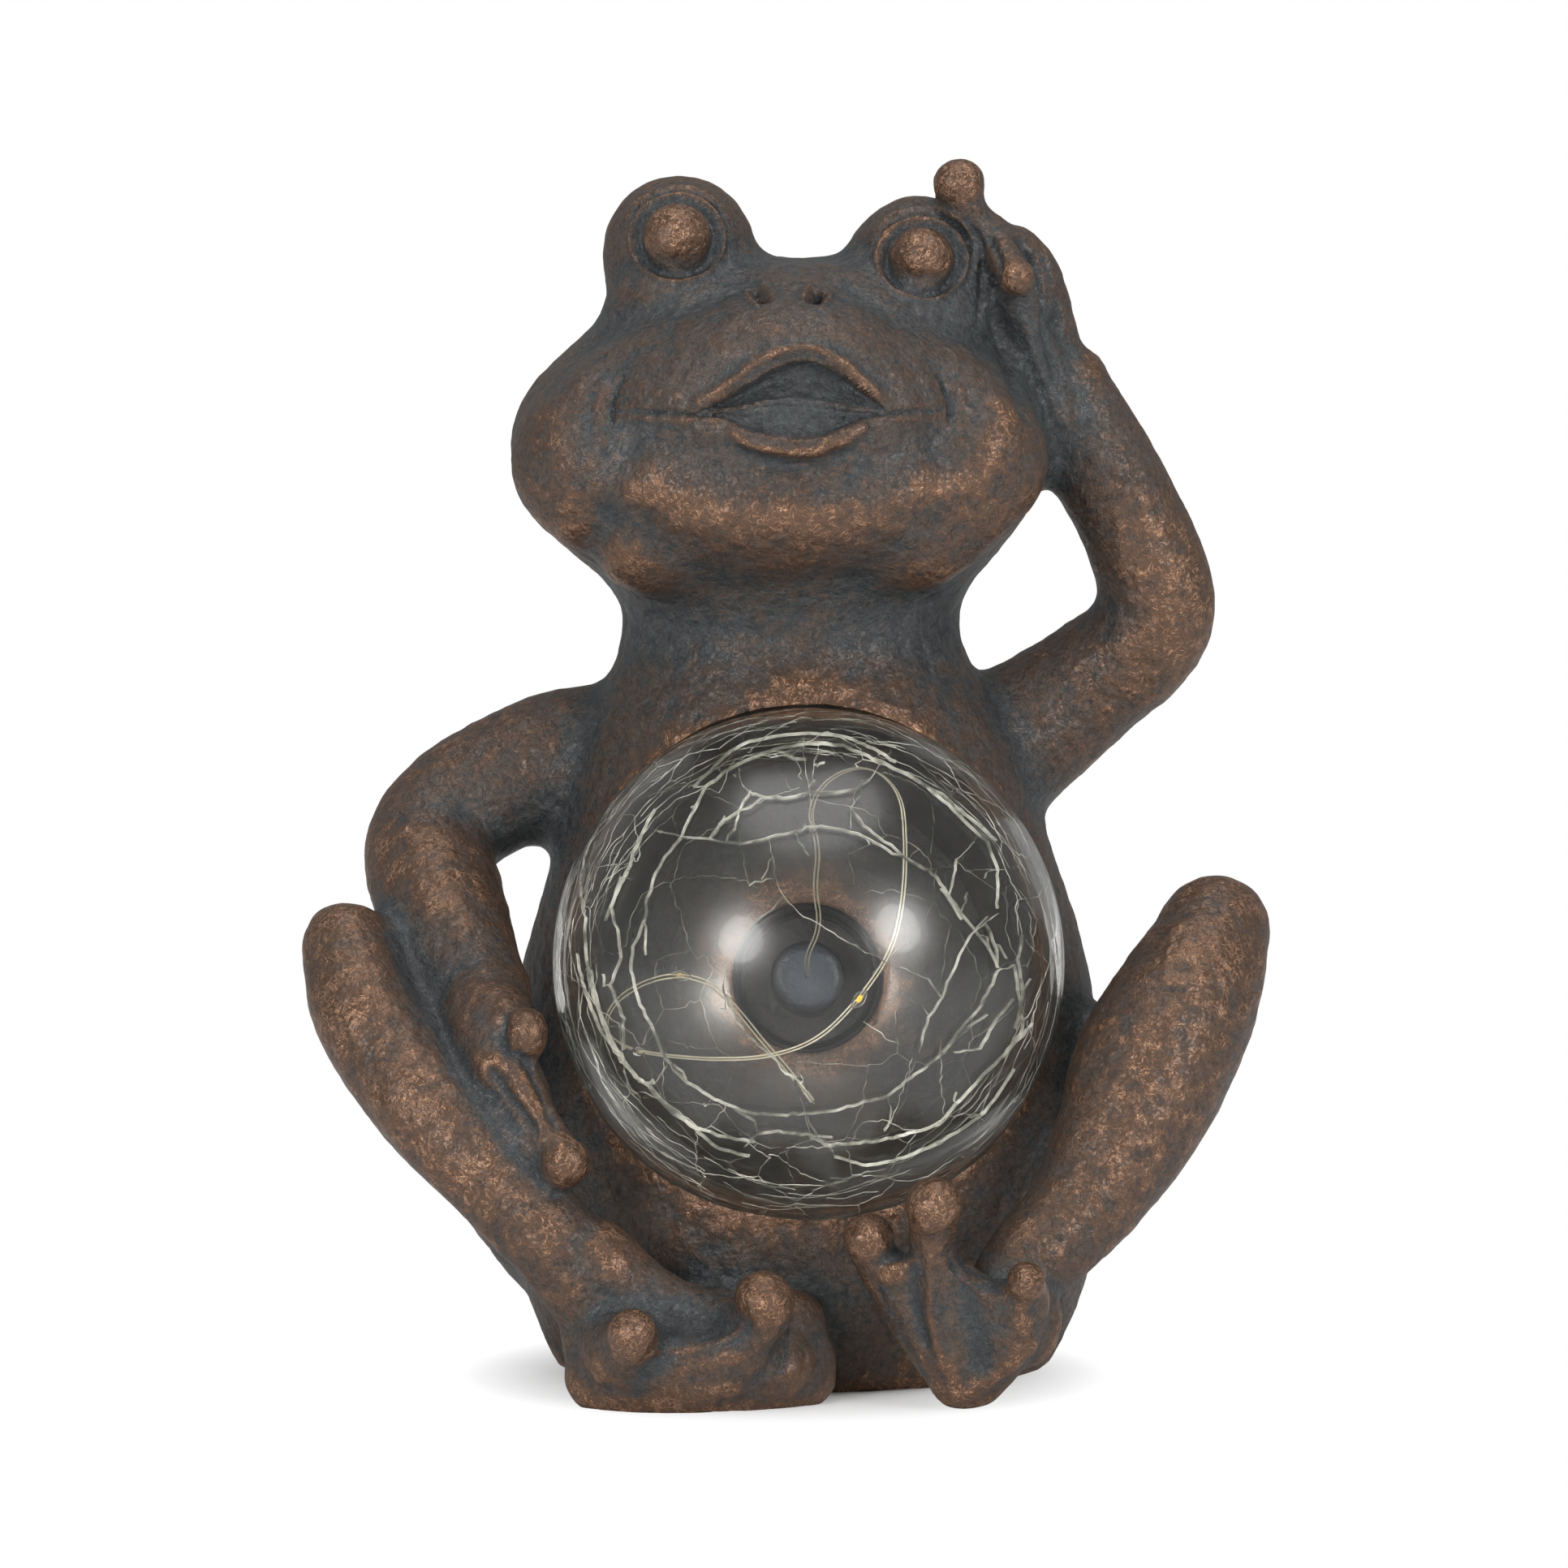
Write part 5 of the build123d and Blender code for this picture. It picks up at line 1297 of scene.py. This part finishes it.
# The lamps. Tiny white diodes soldered across the two wires and cased in drops of clear epoxy.
# Only one turns its yellow phosphor to the front, the others lie face down or sideways.
drops = []
chips = []
dots = []
for run, share, face in (  # the place on the wire, and the way in which the lamp faces
    (5, 0.5, (0.2, 1.0, 0.3)),
    (12, 0.98, (-0.2, -1.0, 0.2)),
    (17, 0.5, (0.0, 0.9, -0.6)),
    (21, 0.5, (0.1, 1.0, 0.2)),
    (25, 0.5, (0.8, 0.7, 0.0)),
):
    start, end = (Vector(wire_route[number]) for number in (run, run + 1))
    along = (end - start).normalized()
    out = (Vector(face) - along * Vector(face).dot(along)).normalized()
    turn = Matrix((along.cross(out), out, along)).transposed().to_4x4()
    lamp_place = Matrix.Translation(start.lerp(end, share) * mm) @ turn
    bpy.ops.mesh.primitive_uv_sphere_add(segments=24, ring_count=16, radius=mm)
    drop = bpy.context.object
    for vertex in drop.data.vertices:
        x, y, z = vertex.co / mm
        neck = 1 - 0.45 * abs(z) ** 3
        vertex.co = Vector((x * 1.25 * neck, y * 1.0 * neck, z * 2.2)) * mm
    drop.data.transform(lamp_place)
    drops.append(drop)
    bpy.ops.mesh.primitive_cube_add(size=1)
    chip = bpy.context.object
    chip.scale = (0.9 * mm, 0.5 * mm, 1.7 * mm)
    bpy.ops.object.transform_apply(location=True, rotation=True, scale=True)
    apply_modifier(chip, "BEVEL", width=0.08 * mm, segments=2)
    chip.data.transform(lamp_place)
    chips.append(chip)
    bpy.ops.mesh.primitive_uv_sphere_add(segments=16, ring_count=10, radius=mm)
    dot = bpy.context.object
    for vertex in dot.data.vertices:
        x, y, z = vertex.co
        vertex.co = Vector((x * 0.62, 0.22 * mm + y * 0.42, z * 0.85))
    dot.data.transform(lamp_place)
    dots.append(dot)


def join_pieces(name, pieces):
    """Joins several meshes to one object with its origin at the frame's."""
    joined = join_clay(name, pieces)
    bpy.ops.object.transform_apply(location=True, rotation=True, scale=True)
    joined.data.shade_smooth()
    joined.data.materials.clear()
    return joined


lamp_drops = join_pieces("lamp_drops", drops)
epoxy, tree, shader, place = new_material("clear_epoxy", (0.93, 0.90, 0.80), 0.08)
shader.inputs["Transmission Weight"].default_value = 1
shader.inputs["IOR"].default_value = 1.35
add_bump(tree, shader, add_noise(tree, place, 900, 2, 0.5), 0.0002, 0.5)
lamp_drops.data.materials.append(epoxy)
lamp_chips = join_pieces("lamp_chips", chips)
ceramic, tree, shader, place = new_material("lamp_ceramic", (0.55, 0.50, 0.38), 0.5)
tone = add_noise(tree, place, 1500, 3, 0.6)
add_tone(tree, shader, tone, ((0.35, (0.40, 0.35, 0.24)), (0.65, (0.62, 0.57, 0.44))))
lamp_chips.data.materials.append(ceramic)
lamp_dots = join_pieces("lamp_dots", dots)
phosphor, tree, shader, place = new_material("yellow_phosphor_painted_glow", (0.92, 0.60, 0.03), 0.35)
tone = add_noise(tree, place, 1200, 3, 0.6)
painted_phosphor_glow = add_tone(tree, shader, tone, ((0.3, (0.85, 0.50, 0.02)), (0.7, (0.98, 0.72, 0.06))))
# the phosphor also glows faintly in its own yellow: painted light
tree.links.new(painted_phosphor_glow, shader.inputs["Emission Color"])
shader.inputs["Emission Strength"].default_value = 0.35
lamp_dots.data.materials.append(phosphor)
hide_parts("string_lamps")
for piece in (lamp_drops, lamp_chips, lamp_dots):
    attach(piece, "figure")


# The plug in the globe's neck. Soft bluish silicone with a rounded nose, through which the wire
# runs, pressed into the neck. Behind the nose its colour darkens to near black, as painted shade.
def dress(node, material):
    """Gives a piece of the frame its finish."""
    for slot in bpy.data.objects[node].material_slots:
        slot.material = material


plug_silicone_painted_shade, tree, shader, place = new_material("plug_silicone_painted_shade", (0.10, 0.12, 0.15), 0.35)
plug_nose = (0.0048, 0.0186, 0.0776)
reach = add_vector_math(tree, "DISTANCE", place, plug_nose)
cloud = add_noise(tree, place, 320, 4, 0.6)
edge = add_math(tree, "MULTIPLY_ADD", cloud, 0.004, reach["Value"])
edge = add_math(tree, "MULTIPLY", edge, 60.0)
# bluish at the nose, darkening to near black away from it: painted shade
plug_blues_to_painted_shade = (
    (0.15, (0.070, 0.088, 0.116)), (0.44, (0.038, 0.048, 0.064)), (0.60, (0.014, 0.013, 0.013))
)
add_tone(tree, shader, edge, plug_blues_to_painted_shade)
shader.inputs["Subsurface Weight"].default_value = 0.2
shader.inputs["Subsurface Scale"].default_value = 0.002
add_bump(tree, shader, cloud, 0.0006)
dress("string_plug", plug_silicone_painted_shade)


# The bedding of the globe. A band of clear silicone laid in the dish before the globe was pressed
# in. It is a little cloudy, with small bubbles, and grips the glass all round.
def add_cells(tree, place, scale):
    """A pattern of cells in the piece's own space."""
    cells = tree.nodes.new("ShaderNodeTexVoronoi")
    cells.inputs["Scale"].default_value = scale
    tree.links.new(place, cells.inputs["Vector"])
    return cells


bedding_silicone, tree, shader, place = new_material("bedding_silicone", (0.60, 0.60, 0.57), 0.30)
shader.inputs["Transmission Weight"].default_value = 1
shader.inputs["IOR"].default_value = 1.25
shader.inputs["Specular IOR Level"].default_value = 0.1
cloud = add_noise(tree, place, 180, 4, 0.6)
add_tone(tree, shader, cloud, ((0.3, (0.42, 0.42, 0.40)), (0.7, (0.80, 0.80, 0.77))))
bubbles = add_cells(tree, place, 420)
add_bump(tree, shader, bubbles.outputs["Distance"], 0.0002, 0.4)
thin_shadow(tree, shader)
dress("globe_bedding", bedding_silicone)


# The neck's washer and the leads' grommet. Both are moulded of black rubber, matt, with a trace
# of the pale powder that keeps such rings from sticking in their bag.
def rubber(name, colour, bloom_colour):
    """Matt moulded rubber with a pale bloom."""
    material, tree, shader, place = new_material(name, colour, 0.75)
    bloom = add_noise(tree, place, 260, 5, 0.7)
    add_tone(tree, shader, bloom, ((0.48, colour), (0.74, bloom_colour)))
    add_bump(tree, shader, add_noise(tree, place, 2600, 3, 0.7), 0.00012)
    return material


black_rubber = rubber("black_rubber", (0.022, 0.022, 0.022), (0.060, 0.059, 0.057))
dress("neck_washer", black_rubber)
dress("lead_grommet", black_rubber)


# The collar on the neck. An injection-moulded ring that is glued on from inside the body, in dark
# plastic with the dull sheen of an unpolished mould.
def vary_gloss(tree, shader, value, share, start):
    """Lets the roughness change with a value over the piece."""
    tree.links.new(add_up(tree, start, (value, share)), shader.inputs["Roughness"])


def moulded(name, colour, dusty, roughness, grain, depth):
    """Moulded plastic with the texture of its mould, a little uneven in gloss, with some dust."""
    material, tree, shader, place = new_material(name, colour, roughness)
    dust = add_noise(tree, place, 90, 6, 0.7)
    add_tone(tree, shader, dust, ((0.45, colour), (0.80, dusty)))
    gloss = add_noise(tree, place, 150, 3, 0.5)
    vary_gloss(tree, shader, gloss, 0.18, roughness - 0.09)
    add_bump(tree, shader, add_noise(tree, place, grain, 3, 0.6), depth)
    return material


collar_plastic = moulded(
    "collar_plastic", (0.045, 0.042, 0.040), (0.090, 0.085, 0.078), 0.5, 3000, 0.00006
)
dress("neck_collar", collar_plastic)


# The base plate. A dark plastic sheet pressed and glued into the foot, sanded level by hand, so
# that it shows fine scratches and stone dust from the grinding.
plate_plastic, tree, shader, place = new_material("plate_plastic", (0.05, 0.047, 0.045), 0.6)
scratches = add_noise(tree, place, 400, 4, 0.7, (0.12, 3.0, 1.0))
add_tone(tree, shader, scratches, ((0.42, (0.040, 0.038, 0.036)), (0.66, (0.120, 0.112, 0.100))))
add_bump(tree, shader, scratches, 0.00015)
dress("base_plate", plate_plastic)


# The lamp module's cover and battery door. Black plastic from a spark-eroded mould, whose fine
# pebble looks dull, with patches of grime from a season in the garden.
def pebbled(name, colour, roughness):
    """Black plastic with a pebbled mould texture."""
    material, tree, shader, place = new_material(name, colour, roughness)
    grime = add_noise(tree, place, 70, 6, 0.75)
    soil = ((0.40, colour), (0.62, (0.030, 0.029, 0.027)), (0.85, (0.085, 0.078, 0.066)))
    add_tone(tree, shader, grime, soil)
    pebbles = add_cells(tree, place, 1900)
    pebbles.feature = "SMOOTH_F1"
    height = add_math(tree, "MULTIPLY_ADD", grime, 0.6, pebbles.outputs["Distance"])
    add_bump(tree, shader, height, 0.00016)
    vary_gloss(tree, shader, grime, 0.3, roughness - 0.15)
    return material


dress("module_cover", pebbled("cover_plastic", (0.018, 0.018, 0.019), 0.46))
dress("battery_door", pebbled("door_plastic", (0.015, 0.015, 0.016), 0.42))


# The module's housing. The tub behind the cover, in the same black plastic but from a plainly
# milled mould, so that it is smoother and shows faint flow lines.
housing_plastic, tree, shader, place = new_material("housing_plastic", (0.020, 0.020, 0.021), 0.38)
flow = add_noise(tree, place, 60, 4, 0.6, (1.0, 1.0, 6.0))
add_tone(tree, shader, flow, ((0.4, (0.016, 0.016, 0.017)), (0.7, (0.032, 0.032, 0.033))))
add_bump(tree, shader, flow, 0.0001)
dress("module_housing", housing_plastic)


# The gasket and the door's seal. Both are stamped from closed-cell foam, whose cut edges show
# the open bubbles, each painted darker inside as painted shade.
foam, tree, shader, place = new_material("seal_foam", (0.045, 0.045, 0.046), 0.85)
bubbles = add_cells(tree, place, 2400).outputs["Distance"]
# darkest in the middle of each bubble, where the relief is lowest: painted shade
add_tone(tree, shader, bubbles, ((0.05, (0.018, 0.018, 0.018)), (0.5, (0.070, 0.070, 0.071))))
add_bump(tree, shader, bubbles, 0.0004)
dress("module_gasket", foam)
dress("door_seal", foam)


# The screws. Zinc-plated steel, pressed and rolled, with a straight slot. The outdoor ones have
# dulled, carry the first specks of white rust, and have soil and painted shade in their slots.
def along_slope(tree, place):
    """The place in the module's slope: across, out of the back, and up the slope."""
    mapping = tree.nodes.new("ShaderNodeMapping")
    mapping.inputs["Rotation"].default_value = (-module_tilt, 0, 0)
    tree.links.new(place, mapping.inputs["Vector"])
    apart = tree.nodes.new("ShaderNodeSeparateXYZ")
    tree.links.new(mapping.outputs["Vector"], apart.inputs["Vector"])
    return apart


def plated(name, colour, spots, roughness, stretch, soil_and_shade_level=None):
    """Plated metal with fine drawing marks and dull spots, and soil with painted shade below a slot's
    edge.
    """
    material, tree, shader, place = new_material(name, colour, roughness, 1)
    drawn = add_noise(tree, place, 900, 4, 0.7, stretch)
    dull = add_noise(tree, place, 700, 5, 0.75)
    finish = add_ramp(tree, dull, ((0.52, colour), (0.72, spots)))
    if soil_and_shade_level:
        # dark below the slot's edge: soil, and painted shade in the slot
        out = along_slope(tree, place).outputs["Y"]
        soil = add_math(tree, "MULTIPLY_ADD", dull, 0.0002, soil_and_shade_level * mm)
        soil = add_math(tree, "LESS_THAN", out, soil)
        finish = add_mix(tree, soil, finish, (0.022, 0.019, 0.015))
    tree.links.new(finish, shader.inputs["Base Color"])
    vary_gloss(tree, shader, dull, 0.5, roughness - 0.2)
    add_bump(tree, shader, drawn, 0.00008)
    return material


slot_top = 88.75
zinc = (0.52, 0.52, 0.50)
white_rust = (0.30, 0.29, 0.27)
dress("cover_screws", plated("cover_screw_zinc", zinc, white_rust, 0.35, (1, 1, 1), slot_top))
dress("door_screw", plated("door_screw_zinc", zinc, white_rust, 0.33, (1, 1, 1), slot_top))
fresh_zinc = plated("board_screw_zinc", (0.62, 0.62, 0.60), (0.50, 0.49, 0.47), 0.28, (1, 1, 1))
dress("board_screws", fresh_zinc)


# The solar cells. Strips of blue-black polycrystalline silicon, cut from one wafer, with its
# grains of slightly different blue and the printed silver fingers across them.
def add_stripes(tree, value, pitch, share):
    """Lines of the given share of their pitch, one where the line is."""
    part = add_math(tree, "MULTIPLY", value, 1 / pitch)
    part = add_math(tree, "FRACT", part)
    return add_math(tree, "LESS_THAN", part, share)


cell_silicon, tree, shader, place = new_material("cell_silicon", (0.010, 0.016, 0.050), 0.22)
grain = add_cells(tree, place, 330)
blue = add_ramp(
    tree, grain.outputs["Color"], ((0.2, (0.006, 0.010, 0.034)), (0.8, (0.018, 0.032, 0.095)))
)
slope = along_slope(tree, place)
fingers = add_stripes(tree, slope.outputs["Z"], 0.0016, 0.09)
bars = add_stripes(tree, slope.outputs["X"], 0.0093, 0.05)
silver = add_math(tree, "MAXIMUM", fingers, bars)
silver = add_math(tree, "MULTIPLY", silver, 0.8)
tree.links.new(add_mix(tree, silver, blue, (0.42, 0.43, 0.44)), shader.inputs["Base Color"])
vary_gloss(tree, shader, silver, 0.3, 0.2)
dress("solar_cells", cell_silicon)


# The tabs that join the cells. Tinned copper strip, laid over the ends of the cells and soldered,
# with the ripples of the solder.
tab_tin, tree, shader, place = new_material("tab_tin", (0.66, 0.66, 0.64), 0.3, 1)
ripples = add_noise(tree, place, 700, 3, 0.6)
add_tone(tree, shader, ripples, ((0.35, (0.50, 0.50, 0.49)), (0.65, (0.76, 0.76, 0.74))))
add_bump(tree, shader, ripples, 0.0003)
dress("panel_tabs", tab_tin)


# The panel's board. White lacquered glass-fibre board, whose weave shows faintly at its edges.
panel_lacquer, tree, shader, place = new_material("panel_lacquer", (0.62, 0.62, 0.58), 0.4)
slope = along_slope(tree, place)
threads = 9000
weft = add_math(tree, "SINE", add_math(tree, "MULTIPLY", slope.outputs["X"], threads))
warp = add_math(tree, "SINE", add_math(tree, "MULTIPLY", slope.outputs["Z"], threads))
weave = add_math(tree, "MULTIPLY", weft, warp)
add_tone(tree, shader, weave, ((0.2, (0.58, 0.58, 0.53)), (0.8, (0.66, 0.66, 0.62))))
add_bump(tree, shader, weave, 0.00002)
dress("panel_board", panel_lacquer)


# The panel's window. A clear sheet set flush in the cover, a little scratched, with dull patches
# where rain has dried.
window_sheet, tree, shader, place = new_material("window_sheet", (0.95, 0.96, 0.94), 0.05)
scratches = add_noise(tree, place, 300, 6, 0.8, (0.15, 2.0, 2.0))
rain = add_noise(tree, place, 120, 5, 0.7)
haze = add_math(tree, "SUBTRACT", rain, 0.52, clamp=True)
vary_gloss(tree, shader, haze, 1.6, 0.05)
shader.inputs["Transmission Weight"].default_value = 1
shader.inputs["IOR"].default_value = 1.49
add_bump(tree, shader, scratches, 0.00002)
thin_shadow(tree, shader)
dress("panel_window", window_sheet)


# The leads. Thin stranded wires in smooth soft jackets: red ones inside the module, and a black
# one from the board to the plug in the globe.
def jacket(name, colour, worn):
    """A soft cable jacket with a slight orange peel."""
    material, tree, shader, place = new_material(name, colour, 0.42)
    tone = add_noise(tree, place, 400, 4, 0.6)
    add_tone(tree, shader, tone, ((0.4, colour), (0.75, worn)))
    add_bump(tree, shader, add_noise(tree, place, 2200, 2, 0.5), 0.00008)
    return material


red_jacket = jacket("red_jacket", (0.42, 0.020, 0.016), (0.55, 0.060, 0.050))
dress("panel_leads", red_jacket)
dress("battery_leads", red_jacket)
dress("string_lead", jacket("black_jacket", (0.020, 0.020, 0.021), (0.045, 0.045, 0.046)))


# The battery. A nickel-plated can in a thin green shrink wrap, which is left blank here and shows
# the fine wrinkles along which it shrank.
dress("battery_cell", plated("cell_nickel", (0.66, 0.65, 0.62), (0.52, 0.51, 0.48), 0.25, (1, 6, 6)))
sleeve_wrap, tree, shader, place = new_material("sleeve_wrap", (0.035, 0.140, 0.055), 0.24)
wrinkles = add_noise(tree, place, 240, 4, 0.65, (0.4, 3.0, 3.0))
add_tone(tree, shader, wrinkles, ((0.35, (0.028, 0.120, 0.046)), (0.7, (0.050, 0.180, 0.075))))
shader.inputs["Coat Weight"].default_value = 0.5
add_bump(tree, shader, wrinkles, 0.0002)
dress("battery_sleeve", sleeve_wrap)


# The cradle under the battery. Moulded in black plastic with a fine matt texture, and glued to
# the floor of the tub.
cradle_plastic = moulded(
    "cradle_plastic", (0.028, 0.028, 0.029), (0.060, 0.058, 0.055), 0.55, 2600, 0.0001
)
dress("battery_cradle", cradle_plastic)


# The contacts. Nickel-plated spring steel, stamped and bent, with the fine marks of the rolls and
# duller spots from handling.
flat_contact = plated("flat_contact", (0.70, 0.68, 0.62), (0.50, 0.46, 0.38), 0.26, (6, 1, 1))
dress("positive_contact", flat_contact)
leaf_contact = plated("leaf_contact", (0.68, 0.66, 0.60), (0.48, 0.44, 0.37), 0.26, (6, 1, 1))
dress("negative_contact", leaf_contact)


# The control board. Glass-fibre board in green lacquer, with copper tracks that show through it
# as lighter lines, and tinned pads.
board_lacquer, tree, shader, place = new_material("board_lacquer", (0.012, 0.085, 0.035), 0.28)
slope = along_slope(tree, place)
wander = add_noise(tree, place, 70, 1, 0.3)
shifted = add_math(tree, "MULTIPLY_ADD", wander, 0.006, slope.outputs["X"])
tracks = add_stripes(tree, shifted, 0.0022, 0.34)
crossing = add_math(tree, "MULTIPLY_ADD", wander, 0.012, slope.outputs["Z"])
breaks = add_stripes(tree, crossing, 0.0075, 0.75)
tracks = add_math(tree, "MULTIPLY", tracks, breaks)
green = add_mix(tree, tracks, (0.008, 0.060, 0.024), (0.024, 0.140, 0.058))
pads = add_cells(tree, place, 260)
tinned = add_math(tree, "LESS_THAN", pads.outputs["Distance"], 0.16)
tree.links.new(add_mix(tree, tinned, green, (0.55, 0.55, 0.52)), shader.inputs["Base Color"])
add_bump(tree, shader, tracks, 0.00004)
dress("control_board", board_lacquer)


# The parts on the board. A moulded chip, a coil wound on a ferrite drum and a capacitor in its
# sleeve, all black or nearly so, sharing one finish with a fine grain.
part_resin = moulded("part_resin", (0.022, 0.022, 0.023), (0.060, 0.055, 0.050), 0.5, 3600, 0.00008)
dress("board_parts", part_resin)


# The slide switch. Its case is a black moulded shell, and the slider's nub is a dark grey plastic
# that fingers have polished.
switch_shell = moulded("switch_shell", (0.026, 0.026, 0.027), (0.050, 0.050, 0.048), 0.5, 3000, 0.00006)
dress("switch_case", switch_shell)
slider_nub = moulded("slider_nub", (0.105, 0.105, 0.108), (0.17, 0.165, 0.155), 0.36, 2400, 0.00008)
dress("switch_slider", slider_nub)
